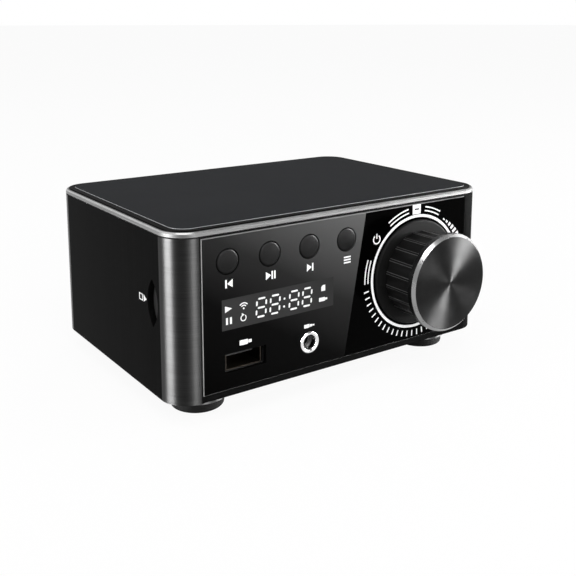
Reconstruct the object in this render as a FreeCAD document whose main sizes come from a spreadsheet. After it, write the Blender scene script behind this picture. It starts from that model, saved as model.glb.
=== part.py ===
import FreeCAD, Part
import math
import os
import re

import Sketcher
from FreeCAD import Placement, Rotation, Vector

# Desktop stereo receiver: a small mains-adapter amplifier with a volume knob, four push
# buttons and a display on the front, and the signal, power and speaker sockets on the back.
# Frame: X to the right seen from the front, Y towards the back, Z up, millimetres.
# The origin lies on the surface it stands on, under the middle of its overall box.

document = FreeCAD.newDocument("desktop_receiver")
dims = document.addObject("Spreadsheet::Sheet", "dims")

SIZES = {
    # case
    "case_width": 130, "case_depth": 92, "case_height": 54, "corner_radius": 9, "wall": 2,
    "fit_gap": 0.1, "bezel_width": 1.1, "bezel_height": 1.9, "bezel_chamfer": 0.45,
    "lid_rise": 0.4, "lid_chamfer": 0.15, "panel_border": 2.1, "panel_thickness": 1, "panel_rise": 0.15,
    "bottom_thickness": 1.5, "vent_length": 34, "vent_width": 2, "vent_pitch": 5, "vent_count": 7,
    "post_radius": 3.2, "post_spacing": 24, "screw_radius": 1.5, "screw_head_radius": 2.7,
    "screw_head_height": 1.2,
    # feet
    "foot_height": 7.5, "foot_radius": 9.8, "foot_inset": 16, "pad_height": 3.4, "pad_step": 1,
    "pad_fillet": 1.1,
    # reach of the knob in front of the case and of the sockets behind it
    "knob_reach": 17.3, "jack_reach": 9,
    # front panel
    "fascia_side": 9.5, "fascia_bottom": 2, "fascia_top": 2.3, "fascia_thickness": 1.2,
    "ledge": 3, "frame_thickness": 1.5, "frame_side": 9.1, "boss_radius": 2.4,
    # display
    "display_from_left": 37.9, "display_drop": 0.45, "display_wide": 43, "display_tall": 9.9,
    "module_rim": 1, "module_depth": 7,
    # buttons
    "button_from_left": 18.7, "button_pitch": 15.37, "button_drop": 10.6, "button_radius": 3.85,
    "button_gap": 0.35, "button_travel": 0.4, "flange_radius": 4.8, "flange_thickness": 0.9,
    "flange_gap": 0.2, "stem_radius": 1.7, "stem_gap": 0.08, "switch_side": 6, "switch_depth": 3.5,
    # dial, knob and potentiometer
    "dial_from_right": 33.54, "dial_radius": 18.9, "dial_thickness": 0.9, "dial_chamfer": 0.4,
    "knob_gap": 0.3, "knob_radius": 15, "flute_radius": 6, "flute_depth": 0.45, "flute_count": 20,
    "cap_radius": 17.1, "cap_thickness": 3.1, "cap_chamfer": 1, "cap_back_chamfer": 0.3,
    "shaft_radius": 3, "shaft_gap": 0.05, "shaft_in_knob": 9, "shaft_in_pot": 4.5,
    "bushing_radius": 3.5, "bushing_length": 6.2, "nut_across": 10, "nut_thickness": 2,
    "washer_thickness": 0.5, "nut_well": 6.6, "pot_side": 11,
    # sockets in the front
    "usb_from_left": 24.9, "usb_height": 10.75, "usb_open_wide": 15.2, "usb_open_tall": 6.1,
    "usb_wide": 13.2, "usb_tall": 5.9, "usb_wall": 0.35, "usb_depth": 15, "usb_setback": 1.6,
    "tongue_wide": 11.1, "tongue_thick": 1.84, "tongue_length": 9.5, "tongue_raise": 1.1,
    "aux_from_left": 49.75, "aux_height": 10.7, "aux_ring_radius": 3.75, "aux_throat": 2.45,
    "aux_ring_proud": 0.3, "aux_bore": 1.8, "aux_depth": 12, "aux_wide": 6.5,
    # memory card slot in the left wall
    "slot_from_front": 13.8, "slot_height": 30, "scoop_tall": 15.4, "scoop_wide": 7,
    "scoop_margin": 1.2, "scoop_floor": 1.2, "card_long": 11.4, "card_thick": 1, "socket_tall": 14,
    "socket_thick": 2.2, "socket_deep": 12,
    # boards and what they carry
    "board_thickness": 1.6, "board_spacing": 7.3, "board_side": 13, "control_low": 17,
    "control_side": 7, "control_right": 15, "control_top": 4, "main_front": 4.5, "main_back": 5,
    "standoff_radius": 2.5, "standoff_side": 17, "standoff_end": 21, "link_wide": 20, "link_thick": 3, "link_tall": 14,
    "chip_side": 10, "chip_height": 1.2, "sink_wide": 40, "sink_deep": 26, "sink_base": 2,
    "sink_tall": 16, "fin_thick": 1.2, "fin_count": 9, "can_radius": 5, "can_height": 16,
    "can_pitch": 12, "coil_side": 10, "coil_height": 7, "coil_pitch": 13,
    "module_wide": 14, "module_long": 19, "module_board": 1, "shield_height": 1.8,
    # back panel and its sockets
    "rear_hole": 1.9, "rear_screw_radius": 0.75, "rear_head_radius": 1.5, "rear_head_height": 0.7, "rca_from_left": 22, "rca_pitch": 14, "rca_height": 25,
    "rca_radius": 4.15, "rca_wall": 0.8, "rca_bore": 1.6, "rca_collar_radius": 5.8,
    "rca_collar": 1.2, "rca_box_tall": 14, "rca_box_deep": 12, "rca_set_in": 0.8,
    "dc_from_right": 24, "dc_wide": 9, "dc_tall": 11, "dc_depth": 14, "dc_bore": 2.8,
    "dc_bore_depth": 9.5, "dc_pin": 1,
    "terminal_wide": 50, "terminal_tall": 24, "terminal_height": 26, "terminal_plate": 2.6,
    "terminal_body": 3, "terminal_depth": 9, "terminal_offset": 2.5,
    "way_pitch": 11.6, "wire_radius": 1.6, "wire_drop": 6.5, "lever_wide": 8, "lever_long": 10,
    "lever_thick": 1.8, "lever_lean": 20, "pin_radius": 0.8, "pin_gap": 0.06, "eye_radius": 1.7,
    "pin_raise": 1, "pin_out": 2, "ear_gap": 0.3,
}

for row, (alias, number) in enumerate(SIZES.items(), start=1):
    dims.set(f"A{row}", alias)
    dims.set(f"B{row}", str(number))
    dims.setAlias(f"B{row}", alias)
document.recompute()

# Planes and axes that many pieces share, written with the names in the sheet
LEFT = "(-case_width / 2)"
RIGHT = "(case_width / 2)"
FRONT = "((knob_reach - jack_reach - case_depth) / 2)"
BACK = f"({FRONT} + case_depth)"
MIDDLE = f"({FRONT} + case_depth / 2)"
BASE = "foot_height"
TOP = "(foot_height + case_height)"
MIDHEIGHT = "(foot_height + case_height / 2)"
FLOOR = "(foot_height + bottom_thickness)"
RIM = f"({TOP} - bezel_height)"
FRAME_FRONT = f"({FRONT} + wall)"
FRAME_BACK = f"({FRAME_FRONT} + frame_thickness)"
CONTROL_FRONT = f"({FRAME_BACK} + board_spacing)"
CONTROL_BACK = f"({CONTROL_FRONT} + board_thickness)"
BOARD_TOP = "(foot_height + usb_height - usb_tall / 2)"
BOARD_BOTTOM = f"({BOARD_TOP} - board_thickness)"
DIAL = "(case_width / 2 - dial_from_right)"
KNOB_BACK = f"({FRONT} - dial_thickness - knob_gap)"

# Directions in which a piece that is drawn standing up can be turned to lie
UPRIGHT = Rotation()
DOWNWARD = Rotation(Vector(1, 0, 0), 180)
FORWARD = Rotation(Vector(1, 0, 0), 90)
REARWARD = Rotation(Vector(0, 0, 1), 180) * FORWARD
RIGHTWARD = Rotation(Vector(0, 0, 1), 90) * FORWARD


def formula(text):
    """Turn a size that is written with the sheet's names into an expression."""
    return re.sub(r"[a-z_]+", lambda word: f"dims.{word[0]}" if word[0] in SIZES else word[0], str(text))


def number(text):
    """Give the value that such a size has now."""
    return float(dims.evalExpression(formula(text)))


def bind(item, **sizes):
    """Tie an object's properties to the sheet."""
    for name, text in sizes.items():
        item.setExpression(name, formula(text))


def place(item, x, y, z, turn=UPRIGHT):
    """Put an object at a place that follows the sheet."""
    item.Placement = Placement(Vector(), turn)
    for axis, text in zip("xyz", (x, y, z)):
        item.setExpression(f"Placement.Base.{axis}", formula(text))
    return item


# Parts made from plain solids and booleans

def block(name, x, y, z, length, width, height):
    """A box whose lowest corner is at x, y, z."""
    item = document.addObject("Part::Box", name)
    bind(item, Length=length, Width=width, Height=height)
    return place(item, x, y, z)


def rod(name, x, y, z, radius, length, turn=UPRIGHT):
    """A cylinder that starts at x, y, z and runs the way that turn points."""
    item = document.addObject("Part::Cylinder", name)
    bind(item, Radius=radius, Height=length)
    return place(item, x, y, z, turn)


def join(name, *items):
    """Fuse solids into one."""
    item = document.addObject("Part::MultiFuse", name)
    item.Shapes = list(items)
    return item


def cut(name, base, *tools):
    """Take tools away from a base."""
    item = document.addObject("Part::Cut", name)
    item.Base = base
    item.Tool = tools[0] if len(tools) == 1 else join(f"{name}_tools", *tools)
    return item


def group(name, items):
    """Keep like solids together in one node without joining them."""
    item = document.addObject("Part::Compound", name)
    item.Links = list(items)
    return item


# Parts made as bodies with sketches

def new_body(name, x="0", y="0", z="0", turn=UPRIGHT):
    """Start a body at a place."""
    return place(document.addObject("PartDesign::Body", name), x, y, z, turn)


def origin_part(body, role):
    """Find a plane or an axis of a body's own origin."""
    return next(part for part in body.Origin.OriginFeatures if part.Role == role)


def sketch_on(body, name, role="XY_Plane", offset="0"):
    """Start a sketch on one of the body's own planes, moved along its normal."""
    sketch = body.newObject("Sketcher::SketchObject", f"{body.Name}_{name}")
    sketch.AttachmentSupport = [(origin_part(body, role), "")]
    sketch.MapMode = "FlatFace"
    sketch.setExpression("AttachmentOffset.Base.z", formula(offset))
    return sketch


def hold(sketch, kind, *where):
    """Add a constraint whose last argument is a size from the sheet."""
    index = sketch.addConstraint(Sketcher.Constraint(kind, *where[:-1], number(where[-1])))
    sketch.setExpression(f"Constraints[{index}]", formula(where[-1]))


def circle(sketch, x, y, radius):
    """A circle held by its centre and radius."""
    middle = Vector(number(x), number(y), 0)
    index = sketch.addGeometry(Part.Circle(middle, Vector(0, 0, 1), number(radius)))
    hold(sketch, "Radius", index, radius)
    hold(sketch, "DistanceX", -1, 1, index, 3, x)
    hold(sketch, "DistanceY", -1, 1, index, 3, y)


def outline(sketch, points):
    """A closed run of straight lines, each corner held by its x and y."""
    corners = [Vector(number(x), number(y), 0) for x, y in points]
    first = sketch.GeometryCount
    count = len(corners)
    for start, end in zip(corners, corners[1:] + corners[:1]):
        sketch.addGeometry(Part.LineSegment(start, end))
    for step, (x, y) in enumerate(points):
        after = first + (step + 1) % count
        sketch.addConstraint(Sketcher.Constraint("Coincident", first + step, 2, after, 1))
        hold(sketch, "DistanceX", -1, 1, first + step, 1, x)
        hold(sketch, "DistanceY", -1, 1, first + step, 1, y)


def rectangle(sketch, left, right, low, high):
    """A rectangle held by its four sides."""
    outline(sketch, [(left, low), (right, low), (right, high), (left, high)])


def round_rectangle(sketch, left, right, low, high, corner):
    """A rectangle with four equal round corners, held by its sides and radius."""
    x0, x1, y0, y1, r = (number(text) for text in (left, right, low, high, corner))
    sides = [
        ((x0 + r, y0), (x1 - r, y0), (x1 - r, y0 + r), -90),
        ((x1, y0 + r), (x1, y1 - r), (x1 - r, y1 - r), 0),
        ((x1 - r, y1), (x0 + r, y1), (x0 + r, y1 - r), 90),
        ((x0, y1 - r), (x0, y0 + r), (x0 + r, y0 + r), 180),
    ]
    first = sketch.GeometryCount
    for start, end, centre, angle in sides:
        whole = Part.Circle(Vector(*centre, 0), Vector(0, 0, 1), r)
        sketch.addGeometry(Part.LineSegment(Vector(*start, 0), Vector(*end, 0)))
        sketch.addGeometry(Part.ArcOfCircle(whole, math.radians(angle), math.radians(angle + 90)))
    for side in range(4):
        line = first + 2 * side
        arc = line + 1
        following = first + (2 * side + 2) % 8
        sketch.addConstraint(Sketcher.Constraint("Tangent", line, 2, arc, 1))
        sketch.addConstraint(Sketcher.Constraint("Tangent", arc, 2, following, 1))
        sketch.addConstraint(Sketcher.Constraint("Vertical" if side % 2 else "Horizontal", line))
        if side:
            sketch.addConstraint(Sketcher.Constraint("Equal", first + 1, arc))
    hold(sketch, "Radius", first + 1, corner)
    hold(sketch, "DistanceY", -1, 1, first, 1, low)
    hold(sketch, "DistanceX", -1, 1, first + 2, 1, right)
    hold(sketch, "DistanceY", -1, 1, first + 4, 1, high)
    hold(sketch, "DistanceX", -1, 1, first + 6, 1, left)


def pad(body, sketch, length):
    """Raise a sketch into a solid along its normal."""
    feature = body.newObject("PartDesign::Pad", f"{sketch.Name}_pad")
    feature.Profile = sketch
    bind(feature, Length=length)
    return feature


def pocket(body, sketch, depth, along_normal=False):
    """Sink a sketch into the solid, against its normal unless told otherwise."""
    feature = body.newObject("PartDesign::Pocket", f"{sketch.Name}_pocket")
    feature.Profile = sketch
    feature.Reversed = along_normal
    bind(feature, Length=depth)
    return feature


def revolve(body, sketch):
    """Turn a sketch on the XZ plane about the body's upright axis."""
    feature = body.newObject("PartDesign::Revolution", f"{sketch.Name}_turned")
    feature.Profile = sketch
    feature.ReferenceAxis = (sketch, ["V_Axis"])
    feature.Angle = 360
    return feature


def turned(name, points, x, y, z, turn=UPRIGHT):
    """A body of revolution from (radius, height) corners."""
    body = new_body(name, x, y, z, turn)
    sketch = sketch_on(body, "profile", "XZ_Plane")
    outline(sketch, points)
    revolve(body, sketch)
    return body


def repeat(body, feature, kind, name, **settings):
    """Repeat a feature in a line or round an axis."""
    pattern = body.newObject(f"PartDesign::{kind}", f"{body.Name}_{name}")
    pattern.Originals = [feature]
    for key, setting in settings.items():
        if isinstance(setting, str):
            bind(pattern, **{key: setting})
        else:
            setattr(pattern, key, setting)
    body.Tip = pattern
    return pattern


def edges_at(feature, height, reach_x="0", reach_y="0"):
    """Name the edges that lie flat at a height and reach that far out in x or in y."""
    document.recompute()
    names = []
    level = number(height)
    for index, edge in enumerate(feature.Shape.Edges, start=1):
        box = edge.BoundBox
        flat = max(abs(box.ZMin - level), abs(box.ZMax - level)) < 1e-4
        far_x = max(abs(box.XMin), abs(box.XMax)) > number(reach_x) - 1e-4
        far_y = max(abs(box.YMin), abs(box.YMax)) > number(reach_y) - 1e-4
        if flat and (far_x or far_y):
            names.append(f"Edge{index}")
    return names


def chamfer(body, feature, edges, size):
    """Bevel some of a feature's edges."""
    bevel = body.newObject("PartDesign::Chamfer", f"{feature.Name}_chamfer")
    bevel.Base = (feature, edges)
    bind(bevel, Size=size)
    return bevel


def fillet(body, feature, edges, size):
    """Round some of a feature's edges."""
    round_edge = body.newObject("PartDesign::Fillet", f"{feature.Name}_fillet")
    round_edge.Base = (feature, edges)
    bind(round_edge, Radius=size)
    return round_edge


def plan_outline(sketch, inset):
    """The case's plan, moved in by a distance, seen from above about the case's middle."""
    round_rectangle(sketch, f"{LEFT} + ({inset})", f"{RIGHT} - ({inset})", f"-case_depth / 2 + ({inset})",
                    f"case_depth / 2 - ({inset})", f"corner_radius - ({inset})")


def screw(name, x, y, z, length, turn=UPRIGHT, radius="screw_radius", head="screw_head_radius"):
    """A pan-head screw whose head's underside is at x, y, z, with the shank running on."""
    shank = rod(f"{name}_shank", "0", "0", "0", radius, length)
    cap = rod(f"{name}_head", "0", "0", "-screw_head_height", head, "screw_head_height")
    whole = join(f"{name}_blank", shank, cap)
    recess = block(f"{name}_slot", f"-{head} * 0.7", "-0.3", "-screw_head_height",
                   f"{head} * 1.4", "0.6", "screw_head_height / 2")
    return place(cut(name, whole, recess), x, y, z, turn)


# Case: a drawn aluminium ring whose front and back walls have a sunk window each

shell = new_body("case_shell", "0", MIDDLE, BASE)
shell_ring = sketch_on(shell, "ring")
plan_outline(shell_ring, "0")
plan_outline(shell_ring, "wall")
pad(shell, shell_ring, "case_height - bezel_height")

# the step on which the bezel sits leaves an inner lip that centres it
lip = sketch_on(shell, "lip", offset="case_height - bezel_height")
plan_outline(lip, "bezel_width + fit_gap")
plan_outline(lip, "wall")
pad(shell, lip, "bezel_height / 2")

for side, name in ((1, "front"), (-1, "rear")):
    face = f"{side} * case_depth / 2"
    seat = sketch_on(shell, f"{name}_seat", "XZ_Plane", face)
    rectangle(seat, f"{LEFT} + fascia_side - fit_gap", f"{RIGHT} - fascia_side + fit_gap",
              "fascia_bottom - fit_gap", "case_height - fascia_top + fit_gap")
    pocket(shell, seat, "fascia_thickness", side < 0)
    window = sketch_on(shell, f"{name}_window", "XZ_Plane", face)
    rectangle(window, f"{LEFT} + fascia_side + ledge", f"{RIGHT} - fascia_side - ledge",
              "fascia_bottom + ledge", "case_height - fascia_top - ledge")
    pocket(shell, window, "wall", side < 0)


def lens(sketch, y, z, wide, tall):
    """Two equal arcs that meet in a point at the top and at the bottom."""
    half_wide = number(wide) / 2
    half_tall = number(tall) / 2
    radius = (half_tall ** 2 + half_wide ** 2) / (2 * half_wide)
    reach = math.asin(half_tall / radius)
    first = sketch.GeometryCount
    for side in (1, -1):
        centre = Vector(number(y) - side * (radius - half_wide), number(z), 0)
        middle_angle = 0 if side > 0 else math.pi
        whole = Part.Circle(centre, Vector(0, 0, 1), radius)
        sketch.addGeometry(Part.ArcOfCircle(whole, middle_angle - reach, middle_angle + reach))
    sketch.addConstraint(Sketcher.Constraint("Coincident", first, 2, first + 1, 1))
    sketch.addConstraint(Sketcher.Constraint("Coincident", first, 1, first + 1, 2))
    sketch.addConstraint(Sketcher.Constraint("Equal", first, first + 1))
    hold(sketch, "Radius", first, f"({tall} * {tall} + {wide} * {wide}) / (4 * {wide})")
    for end, sign in ((1, "-"), (2, "+")):
        hold(sketch, "DistanceX", -1, 1, first, end, y)
        hold(sketch, "DistanceY", -1, 1, first, end, f"{z} {sign} {tall} / 2")


slot_hole = sketch_on(shell, "slot_hole", "YZ_Plane", LEFT)
lens(slot_hole, "(-case_depth / 2 + slot_from_front)", "slot_height", "scoop_wide", "scoop_tall")
pocket(shell, slot_hole, "wall", True)

# Bezel: a bright-cut ring on the shell's top edge, bevelled along both outer edges
bezel = new_body("top_bezel", "0", MIDDLE, RIM)
bezel_ring = sketch_on(bezel, "ring")
plan_outline(bezel_ring, "0")
plan_outline(bezel_ring, "bezel_width")
bezel_solid = pad(bezel, bezel_ring, "bezel_height")
bezel_edges = [edge for height in ("0", "bezel_height")
               for edge in edges_at(bezel_solid, height, "case_width / 2", "case_depth / 2")]
chamfer(bezel, bezel_solid, bezel_edges, "bezel_chamfer")

# Lid: a black plate that drops inside the bezel and stands a little above it
LID_SIDE = "(bezel_width + fit_gap)"
PANEL_SIDE = f"({LID_SIDE} + panel_border)"
LID_TOP = f"({TOP} + lid_rise)"
lid = new_body("lid", "0", MIDDLE, f"{RIM} + bezel_height / 2")
lid_plate = sketch_on(lid, "plate")
plan_outline(lid_plate, LID_SIDE)
lid_solid = pad(lid, lid_plate, "bezel_height / 2 + lid_rise")
lid_plug = sketch_on(lid, "plug", offset="-bezel_height / 2 - wall / 2")
plan_outline(lid_plug, "wall + fit_gap")
pad(lid, lid_plug, "bezel_height / 2 + wall / 2")
panel_seat = sketch_on(lid, "panel_seat", offset="bezel_height / 2 + lid_rise")
plan_outline(panel_seat, PANEL_SIDE)
pocket(lid, panel_seat, "panel_thickness - panel_rise")

top_panel = new_body("top_panel", "0", MIDDLE, f"{LID_TOP} - panel_thickness + panel_rise")
panel_plate = sketch_on(top_panel, "plate")
plan_outline(panel_plate, PANEL_SIDE)
panel_solid = pad(top_panel, panel_plate, "panel_thickness")
chamfer(top_panel, panel_solid, edges_at(panel_solid, "panel_thickness"), "lid_chamfer")

# Bottom plate with a row of vents, held to the lid by four long posts
POST_X = "(case_width / 2 - wall - post_radius - 0.3)"
bottom = new_body("bottom_plate", "0", MIDDLE, BASE)
bottom_plan = sketch_on(bottom, "plan")
plan_outline(bottom_plan, "wall + fit_gap")
pad(bottom, bottom_plan, "bottom_thickness")
vent = sketch_on(bottom, "vent", offset="bottom_thickness")
vent_side = "(vent_count - 1) * vent_pitch / 2"
round_rectangle(vent, f"-{vent_side} - vent_width / 2", f"-{vent_side} + vent_width / 2",
                "-vent_length / 2", "vent_length / 2", "vent_width / 2.01")
vent_pocket = pocket(bottom, vent, "bottom_thickness")
repeat(bottom, vent_pocket, "LinearPattern", "vents", Direction=(origin_part(bottom, "X_Axis"), [""]),
       Length="(vent_count - 1) * vent_pitch", Occurrences="vent_count")
bottom_holes = sketch_on(bottom, "holes", offset="bottom_thickness")
FOOT_X = "(case_width / 2 - foot_inset)"
FOOT_Y = "(case_depth / 2 - foot_inset)"
CORNERS = [("rear_left", "-", "+"), ("rear_right", "+", "+"), ("front_left", "-", "-"), ("front_right", "+", "-")]
for _, x_sign, y_sign in CORNERS:
    circle(bottom_holes, f"{x_sign}{POST_X}", f"{y_sign}post_spacing / 2", "screw_radius + fit_gap")
    circle(bottom_holes, f"{x_sign}{FOOT_X}", f"{y_sign}{FOOT_Y}", "screw_radius + fit_gap")
pocket(bottom, bottom_holes, "bottom_thickness")

POST_LENGTH = f"({RIM} - wall / 2 - {FLOOR})"
posts = []
post_screws = []
for place_name, x_sign, y_sign in CORNERS:
    x = f"{x_sign}{POST_X}"
    y = f"{MIDDLE} {y_sign} post_spacing / 2"
    bar = rod(f"post_bar_{place_name}", x, y, FLOOR, "post_radius", POST_LENGTH)
    tapped = rod(f"post_bore_{place_name}", x, y, FLOOR, "screw_radius", "8")
    posts.append(cut(f"post_{place_name}", bar, tapped))
    post_screws.append(screw(f"case_screw_{place_name}", x, y, BASE, "bottom_thickness + 6"))
group("corner_posts", posts)
group("case_screws", post_screws)

# Feet: a ring screwed to the bottom plate with a softer pad below it
pads = []
foot_screws = []
RING_HEIGHT = "(foot_height - pad_height)"
PAD_RADIUS = "(foot_radius - pad_step)"
for place_name, x_sign, y_sign in CORNERS:
    x = f"{x_sign}{FOOT_X}"
    y = f"{MIDDLE} {y_sign} {FOOT_Y}"
    turned(f"foot_{place_name}", [
        ("screw_radius + fit_gap", "0"), ("foot_radius", "0"), ("foot_radius", RING_HEIGHT),
        ("screw_radius + fit_gap", RING_HEIGHT)], x, y, "pad_height")
    rubber = turned(f"pad_{place_name}", [
        ("screw_head_radius + 0.5", "0"), (PAD_RADIUS, "0"), (PAD_RADIUS, "pad_height"),
        ("screw_head_radius + 0.5", "pad_height")], x, y, "0")
    outer_rim = edges_at(rubber.Tip, "0", PAD_RADIUS, PAD_RADIUS)
    fillet(rubber, rubber.Tip, outer_rim, "pad_fillet")
    pads.append(rubber)
    foot_screws.append(screw(f"foot_screw_{place_name}", x, y, "pad_height", f"{RING_HEIGHT} + bottom_thickness + 1"))
group("foot_pads", pads)
group("foot_screws", foot_screws)

# Front fascia: a glossy sheet in the front seat, with a hole for each control and socket
BUTTONS = ["previous", "play", "next", "mode"]
BUTTON_Z = "(case_height - button_drop)"
DISPLAY_X = f"({LEFT} + display_from_left)"
DISPLAY_Z = "(case_height / 2 - display_drop)"
USB_X = f"({LEFT} + usb_from_left)"
AUX_X = f"({LEFT} + aux_from_left)"


def button_x(step):
    return f"({LEFT} + button_from_left + {step} * button_pitch)"


def front_holes(body, name, top, extra, button, well, usb, display):
    """Draw the openings that the fascia and the frame behind it share."""
    sketch = sketch_on(body, name, offset=top)
    for step in range(len(BUTTONS)):
        circle(sketch, button_x(step), BUTTON_Z, button)
    circle(sketch, DIAL, "case_height / 2", well)
    circle(sketch, AUX_X, "aux_height", "aux_ring_radius + fit_gap")
    rectangle(sketch, f"{USB_X} - {usb[0]} / 2", f"{USB_X} + {usb[0]} / 2",
              f"usb_height - {usb[1]} / 2", f"usb_height + {usb[1]} / 2")
    rectangle(sketch, f"{DISPLAY_X} - {display[0]} / 2", f"{DISPLAY_X} + {display[0]} / 2",
              f"{DISPLAY_Z} - {display[1]} / 2", f"{DISPLAY_Z} + {display[1]} / 2")
    pocket(body, sketch, extra)


fascia = new_body("front_fascia", "0", f"{FRONT} + fascia_thickness", BASE, FORWARD)
fascia_plate = sketch_on(fascia, "plate")
rectangle(fascia_plate, f"{LEFT} + fascia_side", f"{RIGHT} - fascia_side", "fascia_bottom",
          "case_height - fascia_top")
pad(fascia, fascia_plate, "fascia_thickness")
front_holes(fascia, "holes", "fascia_thickness", "fascia_thickness", "(button_radius + button_gap)",
            "nut_well", ("usb_open_wide", "usb_open_tall"), ("display_wide", "display_tall"))

window_plate = block("display_window", f"{DISPLAY_X} - display_wide / 2", FRONT,
                     f"{BASE} + {DISPLAY_Z} - display_tall / 2", "display_wide", "fascia_thickness",
                     "display_tall")

# Front frame: the inner plate behind the fascia's ledge, with bosses for the control board
FRAME_LOW = "(fascia_bottom + 0.6)"
FRAME_HIGH = "(case_height - fascia_top - 1.2)"
BOSS_X = ("(-case_width / 2 + 13)", "(case_width / 2 - 19)")
BOSS_Z = ("(control_low + 2.6)", "(case_height - control_top - 2.6)")
BOSSES = [(x, z) for x in BOSS_X for z in BOSS_Z]
frame = new_body("front_frame", "0", FRAME_BACK, BASE, FORWARD)
frame_plate = sketch_on(frame, "plate")
rectangle(frame_plate, f"{LEFT} + frame_side", f"{RIGHT} - frame_side", FRAME_LOW, FRAME_HIGH)
pad(frame, frame_plate, "frame_thickness")
front_holes(frame, "holes", "frame_thickness", "frame_thickness", "(flange_radius + 0.4)",
            "(bushing_radius + fit_gap)", ("usb_open_wide", "usb_open_tall"),
            ("(display_wide + 2 * module_rim + 0.4)", "(display_tall + 2 * module_rim + 0.4)"))
bosses = sketch_on(frame, "bosses", offset="-board_spacing")
for x, z in BOSSES:
    circle(bosses, x, z, "boss_radius")
    circle(bosses, x, z, "screw_radius / 2")
pad(frame, bosses, "board_spacing")

# Display: a reflector housing behind the window, on a pin strip
MODULE_WIDE = "(display_wide + 2 * module_rim)"
MODULE_TALL = "(display_tall + 2 * module_rim)"
housing = block("display_housing", f"{DISPLAY_X} - {MODULE_WIDE} / 2", f"{FRONT} + fascia_thickness",
                f"{BASE} + {DISPLAY_Z} - {MODULE_TALL} / 2", MODULE_WIDE, "module_depth", MODULE_TALL)
pins = block("display_pins", f"{DISPLAY_X} - {MODULE_WIDE} / 3", f"{FRONT} + fascia_thickness + module_depth",
             f"{BASE} + {DISPLAY_Z} - 1.25", f"{MODULE_WIDE} * 2 / 3",
             f"{CONTROL_FRONT} - {FRONT} - fascia_thickness - module_depth", "2.5")
group("display_module", [housing, pins])

# Push buttons: a cap with a flange behind the fascia and a stem that works the switch
CAP_BACK = f"({FRONT} + fascia_thickness + flange_gap)"
STEM_END = f"({CONTROL_FRONT} - switch_depth + 0.8)"
switches = []
for step, name in enumerate(BUTTONS):
    z = f"{BASE} + {BUTTON_Z}"
    turned(f"button_{name}", [
        ("0", "0"), ("stem_radius", "0"), ("stem_radius", f"{STEM_END} - {CAP_BACK} - flange_thickness"),
        ("flange_radius", f"{STEM_END} - {CAP_BACK} - flange_thickness"),
        ("flange_radius", f"{STEM_END} - {CAP_BACK}"), ("button_radius", f"{STEM_END} - {CAP_BACK}"),
        ("button_radius", f"{STEM_END} - {FRONT} - 0.3"), ("button_radius - 0.3", f"{STEM_END} - {FRONT}"),
        ("0", f"{STEM_END} - {FRONT}")], button_x(step), STEM_END, z, FORWARD)
    can = block(f"switch_can_{name}", f"{button_x(step)} - switch_side / 2",
                f"{CONTROL_FRONT} - switch_depth", f"{z} - switch_side / 2",
                "switch_side", "switch_depth", "switch_side")
    well = rod(f"switch_well_{name}", button_x(step), f"{CONTROL_FRONT} - switch_depth", z,
               "stem_radius + stem_gap", "0.8 + button_travel + 0.4", REARWARD)
    switches.append(cut(f"switch_{name}", can, well))
group("switch_bases", switches)

# Control board behind the frame, and its screws
control = new_body("control_board", "0", CONTROL_BACK, BASE, FORWARD)
control_plate = sketch_on(control, "plate")
rectangle(control_plate, f"{LEFT} + control_side", f"{RIGHT} - control_right", "control_low",
          "case_height - control_top")
for x, z in BOSSES:
    circle(control_plate, x, z, "screw_radius / 2 + 0.2")
pad(control, control_plate, "board_thickness")
group("control_board_screws", [
    screw(f"control_screw_{index}", x, CONTROL_BACK, f"{BASE} + {z}", "board_thickness + 4", FORWARD,
          "screw_radius / 2 - 0.02", "2")
    for index, (x, z) in enumerate(BOSSES)])

# Dial disc, knob and potentiometer, all on the dial's axis
turned("dial_disc", [
    ("nut_well", "0"), ("dial_radius", "0"), ("dial_radius", "dial_thickness - dial_chamfer"),
    ("dial_radius - dial_chamfer", "dial_thickness"), ("nut_well", "dial_thickness")],
    DIAL, FRONT, MIDHEIGHT, FORWARD)

BARREL = "(knob_reach - dial_thickness - knob_gap - cap_thickness)"
barrel = turned("knob_body", [
    ("shaft_radius + fit_gap", "3"), ("nut_well", "3"), ("nut_well", "0"), ("knob_radius", "0"),
    ("knob_radius", BARREL), ("0", BARREL), ("0", "shaft_in_knob + 3.2"),
    ("shaft_radius + fit_gap", "shaft_in_knob + 3.2")], DIAL, KNOB_BACK, MIDHEIGHT, FORWARD)
flute = sketch_on(barrel, "flute", offset=BARREL)
circle(flute, "knob_radius + flute_radius - flute_depth", "0", "flute_radius")
flute_pocket = pocket(barrel, flute, BARREL)
repeat(barrel, flute_pocket, "PolarPattern", "flutes", Axis=(origin_part(barrel, "Z_Axis"), [""]),
       Angle=360, Occurrences="flute_count")

turned("knob_cap", [
    ("0", "0"), ("cap_radius - cap_back_chamfer", "0"), ("cap_radius", "cap_back_chamfer"),
    ("cap_radius", "cap_thickness - cap_chamfer"), ("cap_radius - cap_chamfer", "cap_thickness"),
    ("0", "cap_thickness")], DIAL, f"{KNOB_BACK} - {BARREL}", MIDHEIGHT, FORWARD)

rod("pot_shaft", DIAL, f"{FRAME_BACK} + shaft_in_pot", MIDHEIGHT, "shaft_radius",
    f"{FRAME_BACK} + shaft_in_pot - {KNOB_BACK} + 3 + shaft_in_knob", FORWARD)
turned("pot_bushing", [
    ("shaft_radius + shaft_gap", "0"), ("bushing_radius", "0"), ("bushing_radius", "bushing_length"),
    ("shaft_radius + shaft_gap", "bushing_length")], DIAL, FRAME_BACK, MIDHEIGHT, FORWARD)
pot_can = block("pot_can", f"{DIAL} - pot_side / 2", FRAME_BACK, f"{MIDHEIGHT} - pot_side / 2",
                "pot_side", "board_spacing", "pot_side")
cut("pot_body", pot_can, rod("pot_well", DIAL, FRAME_BACK, MIDHEIGHT, "shaft_radius + shaft_gap",
                             "shaft_in_pot + 0.5", REARWARD))

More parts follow.
